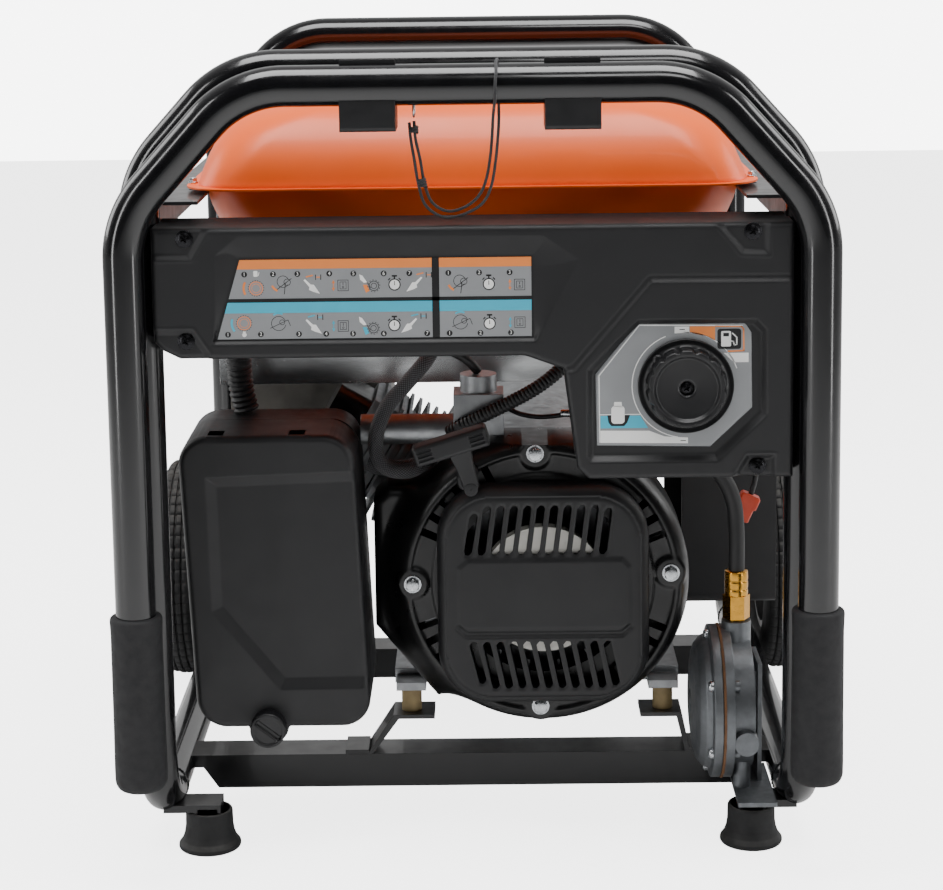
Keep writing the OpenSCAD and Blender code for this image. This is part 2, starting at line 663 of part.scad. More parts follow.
module carburettor() color("#b9bbbd") {
    block([-20, -212, 370], [26, -172, 408]);
    bar_z(17, 3, -192, 408, 424);
    bar_x(14, -190, 372, air_x1 + 2, -20);
    bar_y(10, 3, 392, -172, -160);
}

// ---------------------------------------------------------------- air cleaner

air_a = atan(air_lean / (air_z1 - air_z0));
function air_x(x, z) = x + air_lean * (air_z1 - z) / (air_z1 - air_z0);

// The leaning outline with round corners, drawn in by m and raised by low at the foot.
module air_form(m, low, r) {
    z0 = air_z0 + m + low + r;
    z1 = air_z1 - m - r;
    left = air_x0 + m + r;
    side = air_x1 - m - r;
    n = r * [cos(air_a), sin(air_a)];
    c = [[air_x(left, z0), z0], [air_x(side, z0), z0], [air_x(side, z1), z1], [air_x(left, z1), z1]];
    polygon([c[0] - [0, r], c[1] - [0, r], c[1] + n, c[2] + n, c[2] + [0, r], c[3] + [0, r], c[3] - n, c[0] - n]);
    for (q = c) translate(q) circle(r);
}

module air_outline(m, lug) {
    air_form(m, 0, 26 - m);
    translate([air_knob_x, air_knob_z]) circle(lug);
}

module air_cleaner_base() color("#1b1b1d") difference() {
    slab_y(air_split, air_back) air_outline(0, 16);
    slab_y(air_split - 1, air_back - 4) air_form(4, 20, 22);
}

module air_filter() color("#c9b98a") slab_y(air_split - 34, air_back - 5)
    round_rect([air_x0 + 30, air_z0 + 40], [air_x1 - 22, air_z1 - 40], 12);

module air_cleaner_cover() color("#1d1d1f") difference() {
    union() {
        slab_y(air_front, air_front + 10) air_outline(5, 18);
        slab_y(air_front + 8, air_split - 0.3) air_outline(0, 18);
    }
    slab_y(air_front + 4, air_split) air_form(4, 20, 22);
    bar_y(4 + gap, air_knob_x, air_knob_z, air_front - 1, air_split + 1);
}

module air_knob() color("#151516") difference() {
    union() {
        bar_y(16, air_knob_x, air_knob_z, air_front - 14, air_front - 0.3);
        bar_y(4, air_knob_x, air_knob_z, air_front - 1, air_split - 1);
    }
    translate([air_knob_x, air_front - 15, air_knob_z]) rotate([0, 38, 0]) block([-14, 0, -2], [14, 4, 2]);
}

// ---------------------------------------------------------------- exhaust and alternator

module muffler() color("#6d6f70") {
    slab_y(20, 195) round_rect([-250, 300], [-90, 418], 40);
    bar_y(15, -112, 338, cyl_y + 54, 21);
    bar_y(17, -205, 380, 194, 225);
}

module heat_shield() color("#c3c5c6") {
    block([-246, -100, 424], [80, 195, 426]);
    block([-246, -102, 398], [80, -100, 426]);
    for (x = [-215, -125], y = [60, 160]) bar_z(7, x, y, 418, 424);
}

module alternator_housing() color(cast_grey) {
    difference() {
        union() {
            bar_y(alt_r, crank_x, crank_z, case_y1, alt_y1);
            for (x = [-12, 108]) block([x, 132, base_z], [x + 24, 168, 150]);
        }
        bar_y(alt_r - 6, crank_x, crank_z, case_y1 + 10, alt_y1 + 1);
        bar_y(13, crank_x, crank_z, case_y1 - 1, case_y1 + 11);
    }
}

module stator() color("#a8562b") difference() {
    bar_y(alt_r - 6, crank_x, crank_z, case_y1 + 40, alt_y1 - 20);
    bar_y(71, crank_x, crank_z, case_y1 + 39, alt_y1 - 19);
}

module rotor() color("#7c7e80") difference() {
    bar_y(70, crank_x, crank_z, case_y1 + 42, alt_y1 - 22);
    bar_y(12.5, crank_x, crank_z, case_y1 + 40, alt_y1 - 20);
    for (a = [45:90:315]) translate([crank_x + 78 * cos(a), 0, crank_z + 78 * sin(a)]) bar_y(24, 0, 0, 40, 200);
}

module end_cover() color("#2c2c2e") difference() {
    union() {
        bar_y(alt_r, crank_x, crank_z, alt_y1, alt_y1 + 36);
        bar_y(alt_r - 12, crank_x, crank_z, alt_y1 + 35, alt_y1 + 46);
    }
    bar_y(alt_r - 5, crank_x, crank_z, alt_y1 - 1, alt_y1 + 32);
    bar_y(13, crank_x, crank_z, alt_y1 + 30, alt_y1 + 36);
    for (r = [40, 62, 84], a = [0:18:342]) translate([crank_x + r * cos(a), 0, crank_z + r * sin(a)])
        bar_y(4, 0, 0, alt_y1 + 31, alt_y1 + 47);
}

// ---------------------------------------------------------------- electrics

socket_spots = [[40, 300], [40, 385], [110, 300], [110, 385]];
cover_y = [40, 110];
socket_r = 26;
module control_panel() color(panel_black) difference() {
    slab_x(box_x0, box_x1) round_rect([box_y0, box_z0], [box_y1, box_z1], 12);
    slab_x(box_x0 - 1, box_x1 - 3) round_rect([box_y0 + 3, box_z0 + 3], [box_y1 - 3, box_z1 - 3], 10);
    for (p = socket_spots) bar_x(socket_r, p[0], p[1], box_x1 - 4, box_x1 + 1);
    block([box_x1 - 4, 166, 396], [box_x1 + 1, 194, 436]);
    bar_x(7, 180, 300, box_x1 - 4, box_x1 + 1);
}

module outlets() color("#e8e6e0") for (p = socket_spots) difference() {
    bar_x(socket_r, p[0], p[1], box_x1 - 32, box_x1 + 1.5);
    for (y = [-9, 9]) block([box_x1 - 12, p[0] + y - 1.2, p[1] - 1], [box_x1 + 2, p[0] + y + 1.2, p[1] + 11]);
    bar_x(3, p[0], p[1] - 10, box_x1 - 12, box_x1 + 2);
}

module outlet_cover(y) color("#202021") {
    bar_x(socket_r + 1, y, 385, box_x1 + 2, box_x1 + 5);
    block([box_x1 + 2, y - 9, 385], [box_x1 + 5, y + 9, 385 + socket_r + 4]);
    bar_y(3, box_x1 + 3.5, 385 + socket_r + 4, y - 9, y + 9);
}
module outlet_cover_a() outlet_cover(cover_y[0]);
module outlet_cover_b() outlet_cover(cover_y[1]);

module rocker_switch() color("#b02a20") translate([box_x1 - 5, 180, 416]) rotate([90, 0, 0]) {
    linear_extrude(24, center = true) polygon([[-9, -14], [0, -17], [8, -16], [6.5, 0], [4, 16], [0, 17], [-9, 14]]);
    cylinder(r = 2.5, h = 27, center = true);
}

module breaker_button() color("#ededea") bar_x(6.5, 180, 300, box_x1 - 14, box_x1 + 5);

// ---------------------------------------------------------------- gas supply

module regulator_cover() color(cast_grey) translate([0, reg_y, reg_z]) rotate([0, 90, 0]) difference() {
    rotate_extrude() polygon([[0, 194], [30, 195], [56, 200], [66, 210], [reg_r, 212], [reg_r, 222], [0, 222]]);
    rotate_extrude() polygon([[0, 198], [28, 199], [52, 204], [62, 214], [66, 223], [0, 223]]);
}

// The plate lies just above the foot leg's arm.
reg_plate_z = 44.3;
module regulator_body() color(cast_grey) {
    bar_x(reg_r, reg_y, reg_z, 223, 231);
    bar_x(60, reg_y, reg_z, 230, 250);
    bar_z(13.5, fit_x + 8, reg_y, reg_z + 40, fit_z);
    bar_y(11, 241.5, reg_z - 20, reg_y - reg_r + 4, reg_y - 10);
    bar_z(8, 240.5, reg_y - 30, reg_plate_z + 1, reg_z - 40);
    block([248, reg_y - 10, reg_z - 30], [257, reg_y + 50, reg_z + 30]);
    // mounting plate under and beside the casting
    block([233, reg_y - 74, reg_plate_z], [post_x - 20, front_y + 108, reg_plate_z + 4]);
    block([256, reg_y - 20, reg_plate_z], [260, reg_y + 33, reg_z + 40]);
    for (a = [30:60:330]) bar_x(5, reg_y + (reg_r - 7) * cos(a), reg_z + (reg_r - 7) * sin(a), 230, 236);
}

fit_z = reg_z + reg_r + 7;
module brass_fitting() color("#c58a33") translate([fit_x + 8, reg_y, 0]) {
    bar_z(8, 0, 0, fit_z, fit_z + 4);
    translate([0, 0, fit_z + 2]) cylinder(r = 12.5, h = 22, $fn = 6);
    bar_z(10, 0, 0, fit_z + 23, fit_z + 46);
}

hose_route = [
    [238, -225, 243], [238, -225, 278], [235, -226, 308], [226, -228, 330], [210, -230, 350],
    [192, -230, 366], [180, -229, 384], [175, -226, 402], [174, -222, 424], [176, -226, 438],
    [177, -238, 442], [177, -252, 442], [177, -267.5, 442]
];
fuel_route = [[-40, -205, 544.5], [-44, -206, 520], [-52, -208, 490], [-40, -206, 460], [-10, -198, 440], [3, -192, 426]];
breather_route = [[-212, -185, 391], [-217, -187, 418], [-216, -195, 460], [-205, -198, 500], [-200, -200, 543]];
loom_route = [[-101, -190, 341], [-90, -190, 337], [-70, -188, 334], [-52, -180, 336], [-40, -162, 346],
    [-28, -140, 354]];
cable_route = [[28, -192, 392], [42, -196, 386], [62, -200, 384], [90, -205, 388], [125, -222, 395], [163, -303.5, 404]];
module hoses() color("#171718") {
    line(hose_route, 15, 12, 2, [1, 0, 0.01]);
    line(fuel_route, 9, 8, 3);
    line(breather_route, 24, 12, 5);
    line(loom_route, 16, 10, 3);
    line(cable_route, 4.5, 8, 3);
}

front_hoop();
rear_hoop();
bottom_rails();
foot_legs();
rubber_feet();
cross_members();
engine_mounts();
isolators();
axles();
tyre_left();
tyre_right();
rim_left();
rim_right();
handle_saddles();
handle_tube();
handle_grips();
lock_pin();
lanyard();
tank_rails();
tank_lower();
tank_upper();
fuel_cap();
front_panel();
fasteners();
instruction_label();
selector_plate();
selector_knob();
selector_valve();
crankcase();
barrel();
cylinder_head();
valve_cover();
fan_housing();
recoil_cover();
recoil_pulley();
rope_guide();
pull_handle();
flywheel();
crankshaft();
carburettor();
air_cleaner_base();
air_filter();
air_cleaner_cover();
air_knob();
muffler();
heat_shield();
alternator_housing();
stator();
rotor();
end_cover();
control_panel();
outlets();
outlet_cover_a();
outlet_cover_b();
rocker_switch();
breaker_button();
regulator_cover();
regulator_body();
brass_fitting();
hoses();
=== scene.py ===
"""Looks of an open-frame portable generator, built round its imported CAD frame."""

import math

import bmesh
import bpy
import numpy as np
from mathutils import Matrix, Vector


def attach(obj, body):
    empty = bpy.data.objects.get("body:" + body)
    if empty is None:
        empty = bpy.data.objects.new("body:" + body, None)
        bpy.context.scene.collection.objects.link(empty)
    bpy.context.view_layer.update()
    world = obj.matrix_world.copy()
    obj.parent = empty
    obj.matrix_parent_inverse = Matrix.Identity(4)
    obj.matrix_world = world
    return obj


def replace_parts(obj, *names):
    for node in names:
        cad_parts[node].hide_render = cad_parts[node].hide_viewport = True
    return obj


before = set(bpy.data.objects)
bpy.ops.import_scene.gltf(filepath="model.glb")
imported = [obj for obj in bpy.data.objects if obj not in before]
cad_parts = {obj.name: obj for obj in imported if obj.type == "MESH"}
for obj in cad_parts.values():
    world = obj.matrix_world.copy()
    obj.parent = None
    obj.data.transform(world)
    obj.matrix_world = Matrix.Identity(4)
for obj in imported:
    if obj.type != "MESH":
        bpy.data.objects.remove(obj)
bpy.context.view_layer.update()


MM = 0.001

# ---------------------------------------------------------------- camera

CAM_AT = Vector((0.0149, -2.300, 0.8384))
CAM_YAW, CAM_PITCH, CAM_ROLL = -0.008, 0.152, -0.013
ahead = Vector((math.sin(CAM_YAW) * math.cos(CAM_PITCH), math.cos(CAM_YAW) * math.cos(CAM_PITCH),
                -math.sin(CAM_PITCH)))
right = Vector((math.cos(CAM_YAW), -math.sin(CAM_YAW), 0))
up = right.cross(ahead)
right, up = (right * math.cos(CAM_ROLL) + up * math.sin(CAM_ROLL),
             up * math.cos(CAM_ROLL) - right * math.sin(CAM_ROLL))
cam_data = bpy.data.cameras.new("camera")
cam_data.sensor_width = 36
cam_data.lens = 88.9
cam_data.shift_y = -0.18
camera = bpy.data.objects.new("camera", cam_data)
bpy.context.scene.collection.objects.link(camera)
camera.matrix_world = Matrix((
    (right.x, up.x, -ahead.x, CAM_AT.x), (right.y, up.y, -ahead.y, CAM_AT.y),
    (right.z, up.z, -ahead.z, CAM_AT.z), (0, 0, 0, 1)))
bpy.context.scene.camera = camera

# ---------------------------------------------------------------- material tools


def lin(hex_colour):
    """An sRGB hex colour as linear RGBA."""
    out = []
    for i in (1, 3, 5):
        c = int(hex_colour[i:i + 2], 16) / 255
        out.append(c / 12.92 if c <= 0.04045 else ((c + 0.055) / 1.055) ** 2.4)
    return (*out, 1.0)


def scaled(rgba, k):
    return (*[min(1.0, c * k) for c in rgba[:3]], 1.0)


class Graph:
    """A material's node tree, with one call to add a node, set its values and link its inputs."""

    def __init__(self, name):
        self.material = bpy.data.materials.new(name)
        self.material.use_nodes = True
        self.tree = self.material.node_tree
        self.tree.nodes.clear()
        self.shader = self.add("ShaderNodeBsdfPrincipled")
        out = self.add("ShaderNodeOutputMaterial")
        self.tree.links.new(self.shader.outputs[0], out.inputs[0])

    def add(self, kind, inputs=None, **settings):
        n = self.tree.nodes.new(kind)
        for key, value in settings.items():
            setattr(n, key, value)
        for key, value in (inputs or {}).items():
            if isinstance(value, bpy.types.NodeSocket):
                self.tree.links.new(value, n.inputs[key])
            else:
                n.inputs[key].default_value = value
        return n

    def feed(self, **inputs):
        for key, value in inputs.items():
            socket = self.shader.inputs[key.replace("_", " ")]
            if isinstance(value, bpy.types.NodeSocket):
                self.tree.links.new(value, socket)
            else:
                socket.default_value = value

    def place(self, kind="Object"):
        return self.add("ShaderNodeTexCoord").outputs[kind]

    def noise(self, size_mm, detail=3.0, rough=0.55, at=None, stretch=None):
        at = at or self.place()
        if stretch:
            at = self.add("ShaderNodeMapping", {"Vector": at, "Scale": stretch}).outputs[0]
        return self.add("ShaderNodeTexNoise", {"Vector": at, "Scale": 1 / (size_mm * MM), "Detail": detail,
                                               "Roughness": rough}).outputs[0]

    def spread(self, value, low, high, a=0.3, b=0.7):
        return self.add("ShaderNodeMapRange", {"Value": value, "From Min": a, "From Max": b, "To Min": low,
                                               "To Max": high}).outputs[0]

    def mixed(self, share, a, b):
        return self.add("ShaderNodeMix", {0: share, 6: a, 7: b}, data_type="RGBA").outputs[2]

    def math(self, how, a, b=0.5):
        return self.add("ShaderNodeMath", {0: a, 1: b}, operation=how).outputs[0]


def surface(name, hexes, rough, metal=0.0, coat=0.0, patch=60, vary=0.10, grain=0.8, bump=0.12, height=0.05,
            wear=0.0, worn="#6a6a6c", edge=0.0, rough_vary=0.06, stretch=None, ior=None, dust=0.0):
    """A finish with drifting colour, uneven gloss, a fine surface texture, soft edges and worn edges."""
    g = Graph(name)
    base = lin(hexes)
    drift = g.spread(g.noise(patch, 4), 0.0, 1.0)
    colour = g.mixed(drift, scaled(base, 1 - vary), scaled(base, 1 + vary))
    gloss = g.spread(g.noise(patch * 0.35, 5, stretch=stretch), rough - rough_vary, rough + rough_vary)
    normal = None
    if edge:
        soft = g.add("ShaderNodeBevel", {"Radius": edge * MM}, samples=4).outputs[0]
        normal = soft
        if wear:
            flat = g.add("ShaderNodeNewGeometry").outputs["Normal"]
            dot = g.add("ShaderNodeVectorMath", {0: soft, 1: flat}, operation="DOT_PRODUCT").outputs["Value"]
            rim = g.spread(dot, 1.0, 0.0, 0.90, 0.985)
            scuff = g.spread(g.noise(6, 6), 0.0, 1.0, 0.46, 0.62)
            amount = g.math("MULTIPLY", g.math("MULTIPLY", rim, scuff), wear)
            colour = g.mixed(amount, colour, lin(worn))
    if dust:
        facing = g.add("ShaderNodeNewGeometry").outputs["Normal"]
        upward = g.add("ShaderNodeSeparateXYZ", {0: facing}).outputs[2]
        lying = g.math("MULTIPLY", g.spread(upward, 0.0, dust, 0.3, 1.0), g.spread(g.noise(14, 6), 0.2, 1.0))
        colour = g.mixed(lying, colour, lin("#8d8a84"))
    texture = g.noise(grain, 2, 0.5, stretch=stretch)
    inputs = {"Strength": bump, "Distance": height * MM, "Height": texture}
    if normal is not None:
        inputs["Normal"] = normal
    relief_node = g.add("ShaderNodeBump", inputs)
    g.feed(Base_Color=colour, Roughness=gloss, Metallic=metal, Normal=relief_node.outputs[0])
    if coat:
        g.feed(Coat_Weight=coat, Coat_Roughness=0.06)
    if ior:
        g.feed(IOR=ior)
    return g.material


def braided(name, dark, light, around, pitch_mm, rough=0.55, depth=0.5):
    """Woven cover: two families of yarn crossing at an angle, each crossing standing a little proud; its colour is
    painted light, lighter on the crowns as a painted highlight and darker in the gaps as painted shade.
    """
    g = Graph(name)
    uv = g.place("UV")
    parts = g.add("ShaderNodeSeparateXYZ", {0: uv})
    u = g.math("MULTIPLY", parts.outputs[0], around)
    v = g.math("MULTIPLY", parts.outputs[1], 1 / (pitch_mm * MM))
    waves = []
    for sign in ("ADD", "SUBTRACT"):
        turn = g.math("MULTIPLY", g.math(sign, u, v), math.tau)
        waves.append(g.math("ABSOLUTE", g.math("SINE", turn)))
    yarn = g.math("MULTIPLY", waves[0], waves[1])
    fray = g.noise(0.5, 4)
    # This weave height also sets the colour: the yarn pattern is painted light (painted highlight on the crowns,
    # painted shade in the gaps), and the fray noise adds random fibre tone.
    yarn_height_and_painted_light = g.math("MULTIPLY", yarn, g.spread(fray, 0.6, 1.0))
    relief_node = g.add("ShaderNodeBump", {"Strength": 0.9, "Distance": depth * MM, "Height": yarn_height_and_painted_light})
    # Base colour from the weave height: painted highlight on the crowns, painted shade between the yarns.
    g.feed(Base_Color=g.mixed(yarn_height_and_painted_light, lin(dark), lin(light)), Roughness=g.spread(fray, rough - 0.08, rough + 0.08),
           Normal=relief_node.outputs[0], Sheen_Weight=0.2)
    return g.material


def ink_film(name, hexes, rough=0.32):
    """Screen-printed polyester film: flat ink with faint mottling and a light gloss."""
    return surface(name, hexes, rough, vary=0.03, patch=25, grain=1.2, bump=0.05, height=0.02, rough_vary=0.04)


# Gloss black powder coat over steel tube, with a slight orange peel.
black_coat = surface("gloss_black_powder_coat", "#0c0c0e", 0.20, coat=0.55, vary=0.12, grain=2.6, bump=0.10,
                     height=0.04, rough_vary=0.05)
# The same coat on pressed brackets, with soft edges and scuffs.
black_steel = surface("black_coated_bracket_steel", "#111113", 0.34, coat=0.25, vary=0.12, grain=2.0, bump=0.12,
                      height=0.05, edge=0.9, wear=0.5, worn="#4c4c50", dust=0.10)
# Gloss enamel on the pressed steel tank.
tank_enamel = surface("orange_tank_enamel", "#ff6200", 0.42, coat=0.10, vary=0.05, patch=140, grain=3.5, bump=0.05,
                      height=0.04, rough_vary=0.04)
# Injection-moulded polypropylene with a fine spark-eroded texture.
moulded = surface("charcoal_moulded_polypropylene", "#131315", 0.50, vary=0.08, patch=90, grain=0.55, bump=0.32,
                  height=0.06, rough_vary=0.06)
# The same plastic on CAD solids, with soft edges.
moulded_soft = surface("charcoal_plastic_soft_edges", "#121214", 0.46, vary=0.10, patch=40, grain=0.6, bump=0.28,
                       height=0.05, edge=1.2, wear=0.25, worn="#4d4d50")
# Satin black nylon of the shroud, a little glossier.
shroud_black = surface("satin_black_nylon_shroud", "#111112", 0.33, vary=0.12, patch=50, grain=0.7, bump=0.18,
                       height=0.05, rough_vary=0.07)
# Black plastic of the knob and the cap.
knob_black = surface("black_abs_knob", "#131315", 0.38, vary=0.12, patch=18, grain=0.6, bump=0.20, height=0.04,
                     edge=0.6)
# Soft grip rubber, matt.
grip_rubber = surface("matt_grip_rubber", "#18181a", 0.72, vary=0.12, patch=25, grain=0.9, bump=0.35, height=0.10,
                      rough_vary=0.08)
# Black hose rubber.
hose_rubber = surface("black_hose_rubber", "#141415", 0.52, vary=0.15, patch=20, grain=1.0, bump=0.30, height=0.08,
                      stretch=(1, 1, 0.3))
# Rubber of the feet and tyres.
foot_rubber = surface("moulded_foot_rubber", "#141415", 0.62, vary=0.15, patch=18, grain=1.1, bump=0.35, height=0.10,
                      dust=0.25)
tyre_rubber = surface("ribbed_tyre_rubber", "#161617", 0.68, vary=0.18, patch=30, grain=1.4, bump=0.45, height=0.15,
                      dust=0.30)
# Zinc-plated steel of the bolts.
zinc = surface("zinc_plated_bolt_steel", "#c4c7ca", 0.28, metal=1.0, vary=0.12, patch=6, grain=0.5, bump=0.20,
               height=0.03, edge=0.5, rough_vary=0.10)
# Black-oxide steel of the panel screws.
black_screw = surface("black_oxide_screw_steel", "#2a2a2c", 0.30, metal=1.0, vary=0.2, patch=3, grain=0.4, bump=0.2,
                      height=0.02, rough_vary=0.10)
# Bare turned steel.
steel = surface("turned_shaft_steel", "#9ea1a4", 0.30, metal=1.0, vary=0.10, patch=30, grain=0.6, bump=0.18,
                height=0.03, edge=0.6, stretch=(1, 9, 1))
# Sand- and die-cast aluminium.
cast = surface("die_cast_aluminium", "#9b9d9f", 0.46, metal=1.0, vary=0.16, patch=22, grain=1.3, bump=0.45,
               height=0.14, edge=1.2, rough_vary=0.10)
regulator_cast = surface("grey_cast_regulator_alloy", "#74777a", 0.48, metal=0.85, vary=0.16, patch=12, grain=0.9,
                         bump=0.40, height=0.10, edge=0.8, wear=0.3, worn="#b8babc")
# Pressed aluminium sheet of the heat shield.
sheet_alloy = surface("pressed_aluminium_sheet", "#c9cbcc", 0.22, metal=1.0, vary=0.08, patch=35, grain=2.2,
                      bump=0.30, height=0.08, edge=0.6, stretch=(0.2, 1, 1))
# Muffler sheet with heat staining.
muffler_steel = surface("heat_stained_muffler_steel", "#77746f", 0.42, metal=1.0, vary=0.28, patch=45, grain=1.6,
                        bump=0.3, height=0.08, edge=1.5)
# Turned brass.
brass = surface("turned_brass", "#c9943c", 0.24, metal=1.0, vary=0.14, patch=8, grain=0.5, bump=0.2, height=0.03,
                edge=0.6, stretch=(1, 1, 8))
# Varnished copper windings.
copper = surface("varnished_copper_winding", "#a3542a", 0.34, metal=0.8, vary=0.22, patch=5, grain=1.1, bump=0.8,
                 height=0.4, stretch=(1, 0.1, 1))
# Pleated filter paper.
paper = surface("pleated_filter_paper", "#c4b486", 0.85, vary=0.12, patch=14, grain=4.0, bump=0.9, height=1.2,
                stretch=(1, 0.05, 0.05))
# Tan natural-rubber isolators.
tan_rubber = surface("tan_isolator_rubber", "#a48f66", 0.70, vary=0.14, patch=10, grain=0.9, bump=0.3, height=0.08,
                     edge=1.0)
# White and red switch plastics.
white_plastic = surface("white_outlet_nylon", "#dcdad2", 0.35, vary=0.05, patch=15, grain=0.7, bump=0.12,
                        height=0.03, edge=0.7)
red_plastic = surface("red_switch_plastic", "#a32018", 0.30, vary=0.08, patch=8, grain=0.7, bump=0.12, height=0.03,
                      edge=0.6)
gasket_brown = surface("brown_gasket_paper", "#6e4a2c", 0.75, vary=0.2, patch=5, grain=0.7, bump=0.4, height=0.1)
orange_plastic = surface("orange_red_connector_plastic", "#c8452a", 0.35, vary=0.08, patch=8, grain=0.7, bump=0.15,
                         height=0.04, edge=0.5)
# Printed inks.
ink_grey = ink_film("label_grey_ink", "#8c8e90")
ink_orange = ink_film("label_orange_ink", "#ee8a45")
ink_teal = ink_film("label_teal_ink", "#3fb3cf")
ink_white = ink_film("label_white_ink", "#f2f2f0")
ink_black = ink_film("label_black_ink", "#131315", 0.4)
# Cord and cable covers, woven, with a painted highlight on the yarn crowns and painted shade between the yarns.
paracord = braided("black_paracord_braid", "#08080a", "#4a4a4e", 5, 2.6, depth=0.25)
loom_braid = braided("black_nylon_loom_braid", "#050506", "#707074", 9, 5.2, depth=0.5)

# ---------------------------------------------------------------- mesh tools


def make(name, verts, faces, material, body="root", slot=None, uvs=None, sharp=32, move=None):
    """A mesh object from points in mm. uvs holds one pair for each face corner."""
    mesh = bpy.data.meshes.new(name)
    mesh.from_pydata([(v[0] * MM, v[1] * MM, v[2] * MM) for v in verts], [], faces)
    if uvs is not None:
        layer = mesh.uv_layers.new(name="UVMap")
        layer.data.foreach_set("uv", np.array(uvs, np.float32).ravel())
    bm = bmesh.new()
    bm.from_mesh(mesh)
    bmesh.ops.recalc_face_normals(bm, faces=bm.faces)
    if move is not None:
        bm.transform(move)
    bm.to_mesh(mesh)
    bm.free()
    mesh.shade_smooth()
    mesh.set_sharp_from_angle(angle=math.radians(sharp))
    mesh.materials.append(material)
    obj = bpy.data.objects.new(name, mesh)
    bpy.context.scene.collection.objects.link(obj)
    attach(obj, body)
    return obj


def unit(v):
    return v / max(np.linalg.norm(v), 1e-9)


def spline(points, n):
    """A smooth path through the points, n steps to each span."""
    p = np.array(points, float)
    out = []
    for i in range(len(p) - 1):
        a, b, c, d = p[max(i - 1, 0)], p[i], p[i + 1], p[min(i + 2, len(p) - 1)]
        for j in range(n):
            u = j / n
            out.append(0.5 * (2 * b + (c - a) * u + (2 * a - 5 * b + 4 * c - d) * u * u
                              + (3 * b - a - 3 * c + d) * u ** 3))
    out.append(p[-1])
    return np.array(out)


def resample(path, step):
    """The same path with points every step mm."""
    path = np.array(path, float)
    d = np.concatenate([[0], np.cumsum(np.linalg.norm(np.diff(path, axis=0), axis=1))])
    at = np.linspace(0, d[-1], max(2, int(round(d[-1] / step)) + 1))
    return np.stack([np.interp(at, d, path[:, k]) for k in range(3)], 1)


def tube(name, path, radius, material, sides=24, side=(0.0, 0.6, 0.8), caps=True, **more):
    """A round tube along a path. radius is a number or a function of the distance along it, in mm."""
    path = np.array(path, float)
    n, rows = np.array(side, float), []
    along = 0.0
    for i, p in enumerate(path):
        if i:
            along += np.linalg.norm(p - path[i - 1])
        t = unit(path[min(i + 1, len(path) - 1)] - path[max(i - 1, 0)])
        n = unit(n - (n @ t) * t)
        rows.append((p, n, np.cross(t, n), along))
    verts, faces, uvs = [], [], []
    for p, a, b, s in rows:
        r = radius(s) if callable(radius) else radius
        for k in range(sides):
            w = math.tau * k / sides
            verts.append(p + r * (math.cos(w) * a + math.sin(w) * b))
    for i in range(len(rows) - 1):
        for k in range(sides):
            m = (k + 1) % sides
            faces.append((i * sides + k, (i + 1) * sides + k, (i + 1) * sides + m, i * sides + m))
            u0, u1, v0, v1 = k / sides, (k + 1) / sides, rows[i][3] * MM, rows[i + 1][3] * MM
            uvs += [(u0, v0), (u0, v1), (u1, v1), (u1, v0)]
    if caps:
        last = (len(rows) - 1) * sides
        faces.append(tuple(range(sides)))
        faces.append(tuple(range(last + sides - 1, last - 1, -1)))
        uvs += [(0, 0)] * (2 * sides)
    return make(name, verts, faces, material, uvs=uvs, sharp=50, **more)


def lofted(name, rings, material, caps=True, **more):
    """A skin over rings of points of equal count, each ring closed."""
    n = len(rings[0])
    verts = [p for ring in rings for p in ring]
    faces = [(i * n + k, (i + 1) * n + k, (i + 1) * n + (k + 1) % n, i * n + (k + 1) % n)
             for i in range(len(rings) - 1) for k in range(n)]
    if caps:
        faces.append(tuple(range(n)))
        last = (len(rings) - 1) * n
        faces.append(tuple(range(last + n - 1, last - 1, -1)))
    return make(name, verts, faces, material, **more)


AXES = {"x": ((0, 1, 0), (0, 0, 1), (1, 0, 0)), "y": ((1, 0, 0), (0, 0, 1), (0, 1, 0)),
        "z": ((1, 0, 0), (0, 1, 0), (0, 0, 1))}


def turned(name, axis, centre, profile, material, sides=72, shape=None, **more):
    """A turned piece. profile holds (radius, place along the axis); shape(radius, angle, row) may change radii."""
    a, b, c = (np.array(v, float) for v in AXES[axis])
    rings = []
    for row, (r, h) in enumerate(profile):
        ring = []
        for k in range(sides):
            w = math.tau * k / sides
            rr = shape(r, w, row) if shape else r
            ring.append(np.array(centre, float) + rr * (math.cos(w) * a + math.sin(w) * b) + h * c)
        rings.append(ring)
    return lofted(name, rings, material, **more)


def rounded(profile, r=1.5, steps=3):
    """The same profile with its corners rounded."""
    p = [np.array(q, float) for q in profile]
    out = [tuple(p[0])]
    for a, b, c in zip(p, p[1:], p[2:]):
        la, lc = np.linalg.norm(b - a), np.linalg.norm(c - b)
        cut = min(r, la * 0.45, lc * 0.45)
        s, e = b + (a - b) / max(la, 1e-9) * cut, b + (c - b) / max(lc, 1e-9) * cut
        for i in range(steps + 1):
            u = i / steps
            out.append(tuple((1 - u) ** 2 * s + 2 * u * (1 - u) * b + u * u * e))
    out.append(tuple(p[-1]))
    return out


def signed(poly, p):
    """Distance of each point from a polygon's edge, negative inside."""
    poly = np.array(poly, float)
    q = np.roll(poly, -1, axis=0)
    best = np.full(len(p), 1e18)
    inside = np.zeros(len(p), bool)
    for a, b in zip(poly, q):
        e, w = b - a, p - a
        t = np.clip((w @ e) / (e @ e), 0, 1)
        best = np.minimum(best, ((w - t[:, None] * e) ** 2).sum(1))
        cross = ((a[1] > p[:, 1]) != (b[1] > p[:, 1]))
        with np.errstate(divide="ignore", invalid="ignore"):
            x = (b[0] - a[0]) * (p[:, 1] - a[1]) / (b[1] - a[1]) + a[0]
        inside ^= cross & (p[:, 0] < x)
    d = np.sqrt(best)
    return np.where(inside, -d, d)


def step(s, a, b):
    """0 at a, 1 at b, smooth between."""
    t = np.clip((s - a) / (b - a), 0, 1)
    return t * t * (3 - 2 * t)


def slope(s, a, b):
    return np.clip((s - a) / (b - a), 0, 1)


def rim_drop(s, r):
    """How far a face falls back near its outline for an edge rounded to r."""
    t = np.clip(s + r, 0, r)
    return r - np.sqrt(np.maximum(r * r - t * t, 0))


